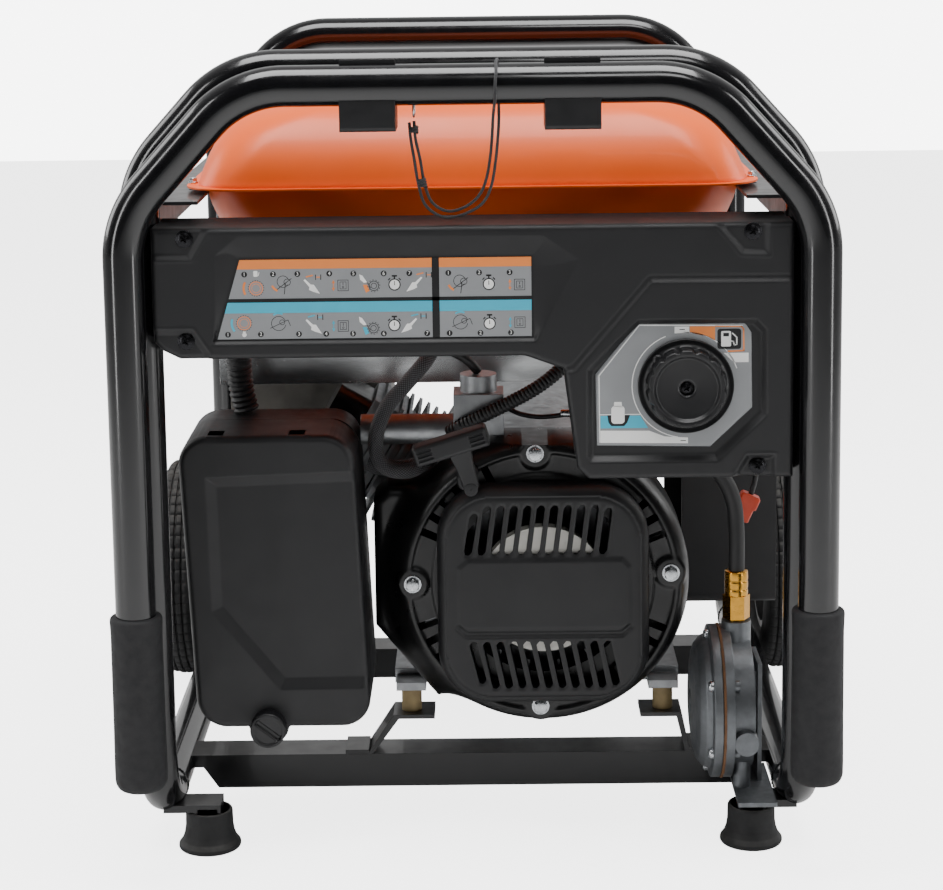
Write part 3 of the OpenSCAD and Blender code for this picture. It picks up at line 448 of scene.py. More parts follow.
def relief(name, box, cell, outline, front, back, material, **more):
    """A moulded face seen along +Y: front(points) gives its depth inside outline(points) < 0; walls run to back."""
    x0, z0, x1, z1 = box
    nx, nz = int(round((x1 - x0) / cell)) + 1, int(round((z1 - z0) / cell)) + 1
    xs, zs = np.linspace(x0, x1, nx), np.linspace(z0, z1, nz)
    grid = np.array([(x, z) for z in zs for x in xs])
    s = outline(grid)
    keys, points, faces = {}, [], []

    def corner(i):
        if i not in keys:
            keys[i] = len(points)
            points.append(grid[i])
        return keys[i]

    def crossing(i, j):
        k = (min(i, j), max(i, j))
        if k not in keys:
            t = np.clip(s[i] / (s[i] - s[j]), 0.02, 0.98)
            keys[k] = len(points)
            points.append(grid[i] + t * (grid[j] - grid[i]))
        return keys[k]

    for j in range(nz - 1):
        for i in range(nx - 1):
            a = j * nx + i
            quad = (a, a + 1, a + nx + 1, a + nx)
            signs = [s[q] < 0 for q in quad]
            if not any(signs):
                continue
            face = []
            for n in range(4):
                p, q = quad[n], quad[(n + 1) % 4]
                if signs[n]:
                    face.append(corner(p))
                if signs[n] != signs[(n + 1) % 4]:
                    face.append(crossing(p, q))
            if len(face) >= 3:
                faces.append(tuple(face))
    points = np.array(points)
    depth = front(points)
    verts = np.stack([points[:, 0], depth, points[:, 1]], 1)
    bm = bmesh.new()
    made = [bm.verts.new(v) for v in verts]
    for f in faces:
        bm.faces.new([made[k] for k in f])
    edges = [e for e in bm.edges if e.is_boundary]
    grown = bmesh.ops.extrude_edge_only(bm, edges=edges)
    for v in grown["geom"]:
        if isinstance(v, bmesh.types.BMVert):
            v.co.y = back
    bm.verts.index_update()
    all_verts = [tuple(v.co) for v in bm.verts]
    all_faces = [tuple(v.index for v in f.verts) for f in bm.faces]
    bm.free()
    return make(name, all_verts, all_faces, material, **more)


def round_box(a, b, r, n=6):
    """Points of a rectangle with round corners, counter-clockwise, in two coordinates."""
    out = []
    for cx, cy, start in ((b[0] - r, b[1] - r, 0), (a[0] + r, b[1] - r, 90), (a[0] + r, a[1] + r, 180),
                          (b[0] - r, a[1] + r, 270)):
        for i in range(n + 1):
            w = math.radians(start + 90 * i / n)
            out.append((cx + r * math.cos(w), cy + r * math.sin(w)))
    return out


def disc(x, z, r, n=28, start=0, end=360):
    return [(x + r * math.cos(math.radians(start + (end - start) * i / n)),
             z + r * math.sin(math.radians(start + (end - start) * i / n))) for i in range(n)]


def band(x, z, r, w, start, end, n=24):
    """An arc-shaped strip of width w."""
    outer = [(x + r * math.cos(math.radians(start + (end - start) * i / n)),
              z + r * math.sin(math.radians(start + (end - start) * i / n))) for i in range(n + 1)]
    inner = [(x + (r - w) * math.cos(math.radians(end + (start - end) * i / n)),
              z + (r - w) * math.sin(math.radians(end + (start - end) * i / n))) for i in range(n + 1)]
    return outer + inner


def stroke(points, w):
    """Thin rectangles along a line of points."""
    out = []
    for a, b in zip(points, points[1:]):
        a, b = np.array(a, float), np.array(b, float)
        d = unit(b - a)
        n = np.array([-d[1], d[0]]) * w / 2
        out.append([tuple(a - n - d * w / 2), tuple(b - n + d * w / 2), tuple(b + n + d * w / 2),
                    tuple(a + n - d * w / 2)])
    return out


class Print:
    """Thin printed shapes on a surface facing -Y, gathered by ink."""

    def __init__(self, name, y, body="root"):
        self.name, self.y, self.body, self.sets = name, y, body, {}

    def put(self, ink, layer, *polys):
        verts, faces = self.sets.setdefault(ink.name, (ink, [], []))[1:]
        y0, y1 = self.y - 0.06 * layer, self.y + 0.05
        for poly in polys:
            n, k = len(poly), len(verts)
            verts += [(x, y0, z) for x, z in poly] + [(x, y1, z) for x, z in poly]
            faces.append(tuple(range(k, k + n)))
            faces.append(tuple(range(k + 2 * n - 1, k + n - 1, -1)))
            faces += [(k + i, k + n + i, k + n + (i + 1) % n, k + (i + 1) % n) for i in range(n)]

    def number(self, ink, layer, text, x, z, high):
        data = bpy.data.curves.new("number", "FONT")
        data.body, data.size, data.align_x, data.align_y = text, high, "CENTER", "CENTER"
        holder = bpy.data.objects.new("number", data)
        bpy.context.scene.collection.objects.link(holder)
        flat = bpy.data.meshes.new_from_object(holder)
        co = [(v.co.x + x, v.co.y + z) for v in flat.vertices]
        self.put(ink, layer, *[[co[i] for i in f.vertices] for f in flat.polygons])
        bpy.data.objects.remove(holder)
        bpy.data.meshes.remove(flat)

    def finish(self, slot="label_film"):
        return [make(f"{self.name}_{i}", verts, faces, ink, self.body, slot)
                for i, (ink, verts, faces) in enumerate(self.sets.values())]


# ---------------------------------------------------------------- lanyard, first of all

LANYARD = [
    (-48, -326, 669), (-47, -329, 655), (-43, -331, 636), (-40, -332, 617), (-34, -333, 601), (-22, -334, 593),
    (-8, -334, 595), (5, -334, 604), (12, -333, 617), (16, -332, 636), (18, -331, 655), (19, -334, 671),
    (20, -342.5, 681.5), (20, -355.6, 682.8), (21, -364.7, 690.5), (21, -367.6, 702), (22, -363.8, 713.7),
    (22, -355.6, 720.2), (23, -344.8, 721.6), (23, -334.2, 716.9), (24, -328.4, 708.3), (24, -327.6, 698),
    (24, -329, 684), (24, -331, 670),
    (23, -333, 655), (21, -334, 636), (17, -335, 614), (9, -336, 599), (-7, -336, 590), (-24, -336, 588),
    (-39, -335, 598), (-45, -334, 617), (-48, -333, 636), (-51, -330, 655), (-52, -327, 668)]
CORD_D = 2.6
cord_path = resample(spline(LANYARD, 8), 1.5)
lanyard = tube("lanyard_cord", cord_path, CORD_D / 2, paracord, sides=12, slot="cord")
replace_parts(lanyard, "lanyard")


def knot(name, at, lean, turns=3.2, r=3.2):
    """A wrap of the same cord holding both strands together."""
    at, lean = np.array(at, float), np.array(lean, float)
    path = [at + (w / math.tau - turns / 2) * 2.3 * unit(lean) + r * np.array([math.cos(w), math.sin(w), 0])
            for w in np.linspace(0, turns * math.tau, int(turns * 18))]
    return tube(name, path, CORD_D / 2, paracord, sides=10, side=(0, 0.1, 1), slot="cord")


knots = [knot("lanyard_knot_low", (-42, -333.5, 617), (-0.2, 0, 1)),
         knot("lanyard_knot_high", (-48.5, -328.5, 662), (0, 0.2, 1), 2.2)]

# ---------------------------------------------------------------- frame tubes

TUBE_R, BEND, SHOULDER = 17.5, 90, 48
FRONT_Y, REAR_Y, HANDLE_Y = -305.5, 332.5, -347.5
HOOP_Z, HANDLE_Z, RAIL_Z, LOW_R = 712.5, 701.5, 48, 65
POST_X, LEG_X = 288, 296
STUB = 3


def arc(cx, cz, r, a0, a1, y, n=16):
    return [(cx + r * math.cos(math.radians(a0 + (a1 - a0) * i / n)), y,
             cz + r * math.sin(math.radians(a0 + (a1 - a0) * i / n))) for i in range(n + 1)]


def arch(half, corner, top, y):
    lean = 90 - SHOULDER
    bar = corner - BEND * math.tan(math.radians(SHOULDER / 2))
    leg_z = top - (half - corner) * math.tan(math.radians(SHOULDER)) - BEND * math.tan(math.radians(lean / 2))
    return (arc(-half + BEND, leg_z, BEND, 180, 180 - lean, y) + arc(-bar, top - BEND, BEND, 90 + SHOULDER, 90, y)
            + arc(bar, top - BEND, BEND, 90, 90 - SHOULDER, y) + arc(half - BEND, leg_z, BEND, lean, 0, y))


def low_bend(x, cy, start, end, n=16):
    return [(x, cy + LOW_R * math.cos(math.radians(start + (end - start) * i / n)),
             RAIL_Z + LOW_R + LOW_R * math.sin(math.radians(start + (end - start) * i / n))) for i in range(n + 1)]


ends = {FRONT_Y: (FRONT_Y + LOW_R, 180), REAR_Y: (REAR_Y - LOW_R, 360)}
for name, y in (("front_hoop", FRONT_Y), ("rear_hoop", REAR_Y)):
    low_y, turn = ends[y]
    stub_y = low_y + (STUB if y < 0 else -STUB)
    path = ([(-POST_X, stub_y, RAIL_Z)] + low_bend(-POST_X, low_y, 270, turn) + arch(POST_X, 205, HOOP_Z, y)
            + low_bend(POST_X, low_y, turn, 270) + [(POST_X, stub_y, RAIL_Z)])
    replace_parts(tube(name + "_tube", path, TUBE_R, black_coat, sides=40, slot="black_steel"), name)
for i, x in enumerate((-POST_X, POST_X)):
    rail_run = np.linspace(FRONT_Y + LOW_R + STUB, REAR_Y - LOW_R - STUB, 8)
    rail = tube(f"bottom_rail_{i}", [(x, y, RAIL_Z) for y in rail_run],
                TUBE_R, black_coat, sides=40, slot="black_steel")
    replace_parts(rail, "bottom_rails")
    # Raised weld beads where the rails meet the bends.
    for j, y in enumerate((FRONT_Y + LOW_R + STUB, REAR_Y - LOW_R - STUB)):
        bead = [(x + (TUBE_R - 0.4) * math.cos(w), y, RAIL_Z + (TUBE_R - 0.4) * math.sin(w))
                for w in np.linspace(0, math.tau, 73)]
        tube(f"weld_bead_{i}{j}", bead, lambda s: 1.5 + 0.35 * math.sin(s * 2.4), black_coat, sides=8,
             side=(0, 1, 0.01), slot="black_steel")

legs_z = 92
handle_path = ([(-LEG_X, HANDLE_Y, legs_z)] + arch(LEG_X, 196, HANDLE_Z, HANDLE_Y) + [(LEG_X, HANDLE_Y, legs_z)])
handle = tube("handle_tube_bent", handle_path, TUBE_R, black_coat, sides=40, body="handle", slot="black_steel")
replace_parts(handle, "handle_tube")

grip_profile = rounded([(0.5, 0), (13, 0), (20, 2.5), (22.8, 8), (23, 20), (22.6, 60), (22.4, 140), (22.8, 151),
                        (23, 154), (22.4, 157), (19.5, 158), (17.6, 158)], 2.5)
for i, s in enumerate((-1, 1)):
    grip = turned(f"handle_grip_{i}", "z", (s * LEG_X, HANDLE_Y, 86), grip_profile, grip_rubber, body="handle",
                  slot="grip_rubber", sharp=60)
    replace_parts(grip, "handle_grips")

# ---------------------------------------------------------------- tank

TANK_Y0, TANK_Y1, TANK_HW, SEAM_Z = -270, 240, 256, 604
tank_cy, tank_hl = (TANK_Y0 + TANK_Y1) / 2, (TANK_Y1 - TANK_Y0) / 2


def tank_ring(inset, z, r, n=20, crown=0.0):
    """One level of the tank: a rounded rectangle drawn in by inset, raised towards its middle by crown."""
    hw, hl = TANK_HW - inset, tank_hl - inset
    out = []
    for cx, cy, a0 in ((hw - r, hl - r, 0), (-hw + r, hl - r, 90), (-hw + r, -hl + r, 180), (hw - r, -hl + r, 270)):
        for i in range(n + 1):
            w = math.radians(a0 + 90 * i / n)
            x, y = cx + r * math.cos(w), cy + r * math.sin(w)
            zz = z + crown * (1 - (x / hw) ** 2) * (1 - (y / hl) ** 2)
            out.append((x, tank_cy + y, zz))
    return out


def shoulder_profile():
    """(inset, height above the seam, corner radius) up the pressed upper shell."""
    rows = [(9.5, 1.5, 45), (9.5, 3.0, 45), (10.5, 5, 45), (12.0, 10, 45), (15.0, 18, 46), (19.0, 28, 48),
            (24, 38, 52), (30, 47, 56), (37, 55, 62), (45, 62, 68), (55, 68, 76), (68, 72.5, 84), (84, 75.5, 92),
            (104, 77.4, 100), (128, 78.6, 104), (156, 79.4, 90), (188, 79.9, 60), (214, 80.2, 36)]
    return rows


upper = [tank_ring(0, SEAM_Z, 50), tank_ring(-0.0, SEAM_Z + 1.5, 50)]
upper += [tank_ring(i, SEAM_Z + z, r) for i, z, r in shoulder_profile()]
tank_top = lofted("tank_upper_shell", upper, tank_enamel, slot="tank_paint", sharp=40)
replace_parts(tank_top, "tank_upper")
lower_rows = [(16, 0, 45), (17, -6, 46), (20, -18, 48), (25, -32, 52), (32, -46, 56), (41, -55, 60), (52, -57.4, 62),
              (90, -58, 50), (200, -58, 30)]
tank_base = lofted("tank_lower_shell", [tank_ring(i, SEAM_Z + z, r) for i, z, r in lower_rows], tank_enamel,
                   slot="tank_paint", sharp=40)
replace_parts(tank_base, "tank_lower")
# Rolled lip under the flange.
turned("filler_neck_ring", "z", (0, -90, 0), rounded([(31, 684), (31, 698), (34, 698), (34.6, 694), (34, 686),
       (40, 684)], 1), tank_enamel, caps=False, slot="tank_paint")


def cap_shape(r, w, row):
    return r + (1.3 * abs(math.sin(w * 9)) if 2 <= row <= 12 and r > 38 else 0)


cap = turned("fuel_cap_shell", "z", (0, -90, 0), rounded([(35, 688.5), (41.5, 688.5), (42.5, 692), (42, 705),
             (38, 709), (30, 710), (12, 709.6), (0.5, 709.6)], 2), knob_black, sides=180, shape=cap_shape,
             body="fuel_cap", slot="black_plastic", caps=False)
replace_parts(cap, "fuel_cap")

# ---------------------------------------------------------------- end panel

PANEL_Y, PANEL_BACK = -345.5, -276
panel_line = [(-273, 582), (-273, 484), (-265, 476), (-251, 469), (44, 469), (77, 457), (88, 371), (98, 361),
              (273, 361), (273, 582)]
FIELD_OUT = [(-220, 481.5), (-218.5, 558), (-198, 575), (60, 573), (91, 552), (53, 481.5)]
FIELD_IN = [(-221, 485), (-199.5, 556.5), (-196, 556.5), (51.5, 556), (52, 552), (52, 485)]
BLOCK = [(300, 534), (151, 534.5), (85, 458), (60, 455), (60, 300), (300, 300)]
RECESS = [(140, 500), (241, 499.5), (250.5, 490), (251, 416), (209, 376), (99, 376), (96, 381), (96.5, 457)]
POCKETS = [
    [(-212, 600), (-239, 555), (-290, 555.5), (-290, 600)],
    [(-290, 495.5), (-238.6, 495.3), (-224.8, 474), (-222, 455), (-290, 455)],
    [(190, 600), (228.6, 555), (252, 554), (252, 600)],
    [(214, 350), (233, 381.5), (258, 381.5), (258, 350)]]


def facets(p, outer, inner):
    """1 inside the inner outline, 0 outside the outer one, flat faces between their matching sides."""
    out = np.ones(len(p))
    for i in range(len(outer)):
        sides = []
        for line in (outer, inner):
            a, b = np.array(line[i], float), np.array(line[(i + 1) % len(line)], float)
            d = unit(b - a)
            sides.append((p - a) @ np.array([d[1], -d[0]]))
        t = np.where(sides[1] >= 0, 1.0, sides[0] / np.maximum(sides[0] - sides[1], 1e-6))
        out = np.minimum(out, np.clip(t, 0, 1))
    return out


def panel_outline(p):
    return signed(panel_line, p) + 0.0


def panel_front(p):
    level = np.full(len(p), 3.2)
    block = signed(BLOCK, p)
    level += 2.2 * slope(-block, 0, 3.4)
    level -= 0.5 * step(-np.abs(block - 2.2), -2.0, 0)
    recess = signed(RECESS, p)
    level = np.where(recess < 3, level * (1 - slope(-recess, 0, 5.5)), level)
    field = facets(p, FIELD_OUT, FIELD_IN)
    level = level * (1 - field) + 0.05 * field
    for pocket in POCKETS:
        s = signed(pocket, p)
        level = level * (1 - slope(-s, 0, 4.5)) + 0.4 * slope(-s, 0, 4.5)
        level += 0.35 * step(-np.abs(s - 1.2), -1.4, 0)
    edge = signed(panel_line, p)
    return PANEL_Y - level + rim_drop(edge, 5.0)


panel = relief("end_panel_moulding", (-273.4, 360.6, 273.4, 582.4), 1.15, panel_outline, panel_front, PANEL_BACK,
               moulded, slot="panel_plastic", sharp=50)
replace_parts(panel, "front_panel")

# Instruction label: film, colour bands and pictograms.
LABEL_Y = PANEL_Y - 0.75
label = Print("instruction_film", LABEL_Y)
L_TOP, L_BOT, L_RIGHT = 554.5, 486.2, 50


def left_edge(z):
    return -197.5 - (L_TOP - z) * 20.5 / (L_TOP - L_BOT)


def strip(z0, z1, x0=None, x1=L_RIGHT):
    return [(left_edge(z0) if x0 is None else x0, z0), (x1, z0), (x1, z1), (left_edge(z1) if x0 is None else x0, z1)]


label.put(ink_grey, 1, strip(L_BOT, L_TOP))
GAP = (-34.4, -28.2)
label.put(ink_orange, 2, strip(546.4, L_TOP, None, GAP[0]), strip(546.4, L_TOP, GAP[1], L_RIGHT))
label.put(ink_teal, 2, strip(508.6, 517.8, None, GAP[0]), strip(508.6, 517.8, GAP[1], L_RIGHT))
label.put(ink_black, 3, strip(517.8, 521.0), [(GAP[0], L_BOT), (GAP[1], L_BOT), (GAP[1], L_TOP), (GAP[0], L_TOP)])

DOTS_TOP = [(-193.8, 542), (-169.3, 542), (-148.6, 542), (-121.5, 542), (-101, 541.8), (-75.3, 541.6), (-53.5, 541.5),
            (-20.4, 541.4), (5.7, 541.4), (31.6, 541.3)]
DOTS_LOW = [(-209, 490.3), (-180.9, 490.3), (-148.4, 490.2), (-125.2, 490.1), (-102.3, 490), (-76.1, 489.8),
            (-39.1, 489.6), (-20, 489.5), (6.3, 489.4), (32.3, 489.4)]
for dots in (DOTS_TOP, DOTS_LOW):
    for i, (x, z) in enumerate(dots):
        label.put(ink_black, 2, disc(x, z, 2.5))
        label.number(ink_white, 3, str(i + 1 if i < 7 else i - 6), x, z, 4.4)


def dial(x, z, ink, side):
    label.put(ink_orange, 2, band(x, z, 6.0, 0.7, 0, 359))
    label.put(ink_black, 2, *[band(x, z, 6.9, 0.5, a, a + 9, 3) for a in range(0, 360, 18)])
    label.put(ink_orange, 2, band(x, z, 3.9, 0.4, 0, 359))
    label.put(ink, 2, band(x, z, 11.5, 1.8, side - 30, side + 30))


def lever(x, z, ink):
    label.put(ink_black, 2, band(x, z + 2.5, 5.2, 0.5, 20, 330), band(x + 3.6, z + 2, 3.0, 0.5, 0, 359),
              *stroke([(x + 2, z + 1), (x + 1, z - 8)], 0.6), *stroke([(x - 5, z - 4), (x + 7, z + 5)], 0.6))
    label.put(ink, 2, band(x - 1, z + 3, 10, 1.8, 205, 245))


def hand(x, z, flip=1):
    shape = [(-5.5, 5.5), (-4.3, 6.4), (0.6, 1.8), (3.2, 1.6), (8.2, -6.2), (2.4, -4.4), (-1.0, -2.8), (-0.6, -0.4)]
    label.put(ink_white, 3, [(x + flip * a, z + b) for a, b in (shape if flip > 0 else shape[::-1])])


def bars(x, z, ink):
    label.put(ink_black, 2, *stroke([(x - 2.2, z + 2), (x - 2.2, z - 2)], 0.7),
              *stroke([(x + 2.2, z + 2), (x + 2.2, z - 2)], 0.7))
    label.put(ink, 2, *stroke([(x - 10, z + 0.4), (x - 5, z + 1.6)], 1.1), *stroke([(x - 1.1, z), (x + 1.1, z)], 0.9))


def switch(x, z, ink):
    label.put(ink_black, 2, *stroke([(x - 4.4, z - 4.4), (x + 4.4, z - 4.4), (x + 4.4, z + 4.8), (x - 4.4, z + 4.8),
                                     (x - 4.4, z - 4.4)], 0.45),
              *stroke([(x - 2.6, z - 2.8), (x + 2.6, z - 2.8), (x + 2.6, z + 3.2), (x - 2.6, z + 3.2),
                       (x - 2.6, z - 2.8)], 0.4), *stroke([(x, z + 0.6), (x, z + 2.4)], 0.5),
              band(x, z - 1.2, 0.9, 0.4, 0, 359, 12))
    label.put(ink, 2, *stroke([(x - 8.2, z - 2), (x - 8.2, z + 2.6)], 0.6),
              [(x - 9.5, z + 2.2), (x - 6.9, z + 2.2), (x - 8.2, z + 5)],
              [(x - 9.5, z - 1.8), (x - 8.2, z - 4.6), (x - 6.9, z - 1.8)])


def rope(x, z, ink):
    label.put(ink_white, 3, [(x - 9, z + 8.5), (x - 6.4, z + 7.4), (x - 2.6, z + 1.6), (x - 5.2, z + 1.2),
                             (x - 8.4, z + 4)])
    label.put(ink, 2, [(x - 6, z - 0.5), (x - 2.6, z - 0.5), (x - 0.4, z - 5.6), (x - 3.6, z - 7.4)])
    label.put(ink_black, 2, band(x + 3.2, z - 1.5, 4.4, 0.6, 0, 359), band(x + 3.2, z - 1.5, 2.6, 0.5, 0, 359),
              *stroke([(x - 2.6, z + 1.6), (x + 0.6, z - 3)], 0.5), *[band(x + 3.2, z - 1.5, 5.4, 0.5, a, a + 14, 3)
                                                                 for a in range(0, 360, 30)])


def stopwatch(x, z):
    label.put(ink_black, 2, disc(x, z - 0.6, 5.2), [(x - 2.3, z + 6.2), (x - 2.3, z + 7.6), (x + 2.3, z + 7.6),
                                                   (x + 2.3, z + 6.2)],
              *stroke([(x, z + 4), (x, z + 6.4)], 1.2), *stroke([(x - 5, z + 3.6), (x - 4, z + 4.6)], 1.0),
              *stroke([(x + 4, z + 4.6), (x + 5, z + 3.6)], 1.0))
    label.put(ink_white, 3, disc(x, z - 0.6, 4.2))
    label.put(ink_black, 4, *stroke([(x, z - 0.6), (x, z + 2.2)], 0.6), disc(x, z - 0.6, 0.5, 10))


def choke(x, z, ink):
    label.put(ink_black, 2, band(x, z + 1, 6.4, 0.5, 20, 350),
              *stroke([(x - 7, z - 3), (x + 8, z + 4), (x + 10, z - 1)], 0.5),
              band(x + 3, z + 2, 2.4, 0.5, 0, 359, 14))
    label.put(ink, 2, band(x, z + 3, 7.5, 1.4, 60, 130))


ROWS = [(ink_orange, [(-184, 530), (-161, 533), (-138, 531), (-110, 531.5), (-87, 532.5), (-66.2, 532.5),
                      (-48, 532), (-11, 532), (13.9, 532), (40, 530.5)], 180),
        (ink_teal, [(-195, 500), (-165.5, 498.5), (-137, 496.5), (-110.5, 496.5), (-88, 496), (-66.9, 497.5),
                    (-53, 496.5), (-10.5, 498), (14.2, 498), (40, 498)], 190)]
for row, (ink, at, side) in enumerate(ROWS):
    dial(*at[0], ink, side)
    if row == 0:
        lever(*at[1], ink)
        lever(*at[7], ink)
    else:
        choke(*at[1], ink)
        choke(*at[7], ink)
    hand(*at[2])
    bars(at[2][0] + 7, at[2][1] + 8, ink)
    switch(*at[3], ink)
    rope(*at[4], ink)
    stopwatch(*at[5])
    hand(at[6][0], at[6][1], -1)
    bars(at[6][0] + 11, at[6][1] + 8, ink)
    stopwatch(*at[8])
    switch(*at[9], ink)
label.put(ink_white, 2, round_box((-186, 540), (-182.4, 545), 0.8), *stroke([(-181.9, 541), (-181.2, 543.6)], 0.6))
label.put(ink_white, 2, disc(-195, 490, 1.9), [(-196.2, 491.4), (-193.8, 491.4), (-193.8, 493), (-196.2, 493)])
film = label.finish()
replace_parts(film[0], "instruction_label")

# Selector plate: bevelled base with printed sectors.
KNOB = (181, 442)
PLATE = [(140, 497), (231, 496), (237, 487), (238, 422), (202, 388), (105, 390), (104, 452)]
plate_ink = Print("selector_print", PANEL_Y - 1.0)


def plate_outline(p):
    return np.maximum(signed(PLATE, p), 7.5 - np.hypot(p[:, 0] - KNOB[0], p[:, 1] - KNOB[1]))


plate = relief("selector_plate_base", (103, 387, 239, 498), 1.0, plate_outline,
               lambda p: PANEL_Y - 1.0 + 0.7 * rim_drop(signed(PLATE, p), 1.4), PANEL_Y + 0.2, ink_grey,
               slot="label_film")
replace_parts(plate, "selector_plate")
for a, b in (((141.5, 494.3), (107, 451)), ((107, 451), (107.5, 393)), ((141.5, 494.3), (229, 493.2))):
    plate_ink.put(ink_white, 1, *stroke([a, b], 0.8))
plate_ink.put(ink_white, 1, band(*KNOB, 46.2, 0.8, 112, 262), band(*KNOB, 46.2, 0.8, 18, 92))
plate_ink.put(ink_orange, 1, [(184.5, 493), (206, 492.8), (206, 480.5), (198, 484.5), (184.5, 487.6)])
plate_ink.put(ink_orange, 1, *stroke([(206.5, 492.8), (228.5, 492.4), (230.3, 490), (230.6, 471.5), (217, 471)], 1.2))
plate_ink.put(ink_black, 1, round_box((208, 473), (228.3, 490.6), 2.4))
plate_ink.put(ink_white, 2, round_box((211.2, 475.2), (219.6, 488.6), 1.2),
              *stroke([(221, 486.5), (224.5, 483), (224.5, 477), (222.4, 476.2), (221.6, 479.5), (219.6, 480)], 1.1))
plate_ink.put(ink_black, 3, [(213, 484), (217.8, 484), (217.8, 487), (213, 487)])
plate_ink.put(ink_white, 1, [(213.5, 469.6), (234.6, 469.6), (234.6, 461.5), (222, 461.5)])
plate_ink.put(ink_white, 1, [(171.5, 492.8), (184, 492.8), (184, 487.4), (171.5, 487)])
plate_ink.put(ink_black, 2, *stroke([(176, 490.4), (180, 490.4)], 0.7), *stroke([(177, 393.6), (181, 393.6)], 0.7))
plate_ink.put(ink_teal, 1, [(108, 416), (142, 416), (149, 405), (108, 405)])
plate_ink.put(ink_white, 1, *stroke([(108, 417), (142, 417)], 0.7))
plate_ink.put(ink_black, 2, [(114, 416.5), (133.5, 416.5), (131, 410), (128.5, 407), (117.5, 407), (115, 410)])
plate_ink.put(ink_white, 3, round_box((117.4, 409), (128.8, 424.5), 3.0), [(119.6, 424), (126.6, 424), (126.2, 428),
                                                                          (120, 428)])
plate_ink.put(ink_white, 1, [(108, 403), (150, 402.5), (163, 397.4), (183, 396.2), (183, 391.2), (108, 392.4)])
plate_ink.finish()


def scallop(r, w, row):
    return r - (1.9 * max(0.0, math.cos(w * 14)) ** 2 if 32.2 < r < 34.5 else 0.0)


knob_profile = [(0.5, -5.3), (6.0, -5.3), (6.2, -9.2), (8.2, -10.2), (25.8, -10.2), (27.0, -11.4), (28.6, -13.6),
                (32.4, -13.8), (33.6, -12.6), (33.8, -10.5), (33.8, -3), (34.2, 0.8), (36.4, 2.4), (38.6, 1.6),
                (40.4, 0.6), (41, 1.4), (41, 4.4), (36, 4.4)]
knob = turned("selector_knob_cap", "y", (KNOB[0], -352.5, KNOB[1]), rounded(knob_profile, 0.7, 2), knob_black,
              sides=224, shape=scallop, body="selector", slot="black_plastic", sharp=40, caps=False)
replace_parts(knob, "selector_knob")
turned("selector_knob_shaft", "y", (KNOB[0], 0, KNOB[1]), [(0.5, -350), (5, -350), (5, -311.5), (0.5, -311.5)], steel,
       body="selector", slot="steel", caps=False)
turned("selector_dimple", "y", (157, -353.2, 465.5), rounded([(0.3, -0.4), (2.6, -0.2), (4.2, 0.9), (4.4, 3.4)], 0.5),
       knob_black, body="selector", slot="black_plastic", caps=False)


def cross_screw(name, x, z, y, r, body="root"):
    """A pan-head screw with a cross recess."""
    def front(p):
        q = p - np.array([x, z])
        a = math.radians(28)
        q = np.stack([q[:, 0] * math.cos(a) + q[:, 1] * math.sin(a),
                      q[:, 1] * math.cos(a) - q[:, 0] * math.sin(a)], 1)
        arms = np.minimum(np.maximum(np.abs(q[:, 0]) - r * 0.62, np.abs(q[:, 1]) - r * 0.13),
                          np.maximum(np.abs(q[:, 1]) - r * 0.62, np.abs(q[:, 0]) - r * 0.13))
        d = np.hypot(q[:, 0], q[:, 1])
        return y + 0.26 * r * (d / r) ** 2 + r * 0.45 * step(-arms, -0.1, 0.35) * (1 - d / r)

    return relief(name, (x - r - 0.2, z - r - 0.2, x + r + 0.2, z + r + 0.2), r / 14,
                  lambda p: np.hypot(p[:, 0] - x, p[:, 1] - z) - r, front, y + r * 0.5, black_screw, body=body,
                  slot="zinc_steel", sharp=50)


cross_screw("selector_screw", KNOB[0], KNOB[1], -361.2, 4.6, "selector")
first_fastener = None
for i, (x, z) in enumerate([(-244, 573), (-245, 485), (238, 574), (243, 371)]):
    screw = cross_screw(f"panel_screw_{i}", x, z, -349.2, 5.4)
    turned(f"panel_screw_flange_{i}", "y", (x, 0, z),
           rounded([(5, -347.4), (7.6, -346.6), (7.8, -345.4), (5, -345.2)], 0.4),
           black_screw, caps=False, slot="zinc_steel")
    first_fastener = first_fastener or screw
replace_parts(first_fastener, "fasteners")


def hex_head(name, axis, centre, r, high, washer, body="root"):
    """A bolt head with a chamfered hexagon on a round flange."""
    def shape(rr, w, row):
        if 3 <= row <= 5:
            return rr / math.cos((w + math.pi / 6) % (math.pi / 3) - math.pi / 6) * 0.90
        return rr
    s = -1 if axis == "y" else 1
    profile = [(0.3, s * high), (r * 0.82, s * high), (r * 0.90, s * high * 0.96), (r, s * high * 0.88),
               (r, s * high * 0.3), (r, s * 1.2), (washer, s * 1.2), (washer, 0), (0.3, 0)]
    return turned(name, axis, centre, profile, zinc, sides=72, shape=shape, body=body, slot="zinc_steel", caps=False)


CRANK = (60, 238)
HOUSING_BOLTS = [(CRANK[0] - 1 + 118 * math.cos(math.radians(a)), CRANK[1] + 2 + 119 * math.sin(math.radians(a)))
                 for a in (3, 92.5, 181, 269)]
for i, (x, z) in enumerate(HOUSING_BOLTS):
    hex_head(f"housing_bolt_{i}", "y", (x, -240.2, z), 6.2, 6.0, 8.0)
for i, (x, y) in enumerate([(sx, sy) for sx in (-252, 252) for sy in (-210, 180)]):
    hex_head(f"tank_bolt_{i}", "z", (x, y, SEAM_Z + 1.6), 3.7, 5.0, 4.3)

# ---------------------------------------------------------------- engine front


def rounded_rect(p, cx, cz, hw, hh, r):
    q = np.stack([np.abs(p[:, 0] - cx) - hw + r, np.abs(p[:, 1] - cz) - hh + r], 1)
    return np.hypot(np.maximum(q[:, 0], 0), np.maximum(q[:, 1], 0)) + np.minimum(q.max(1), 0) - r


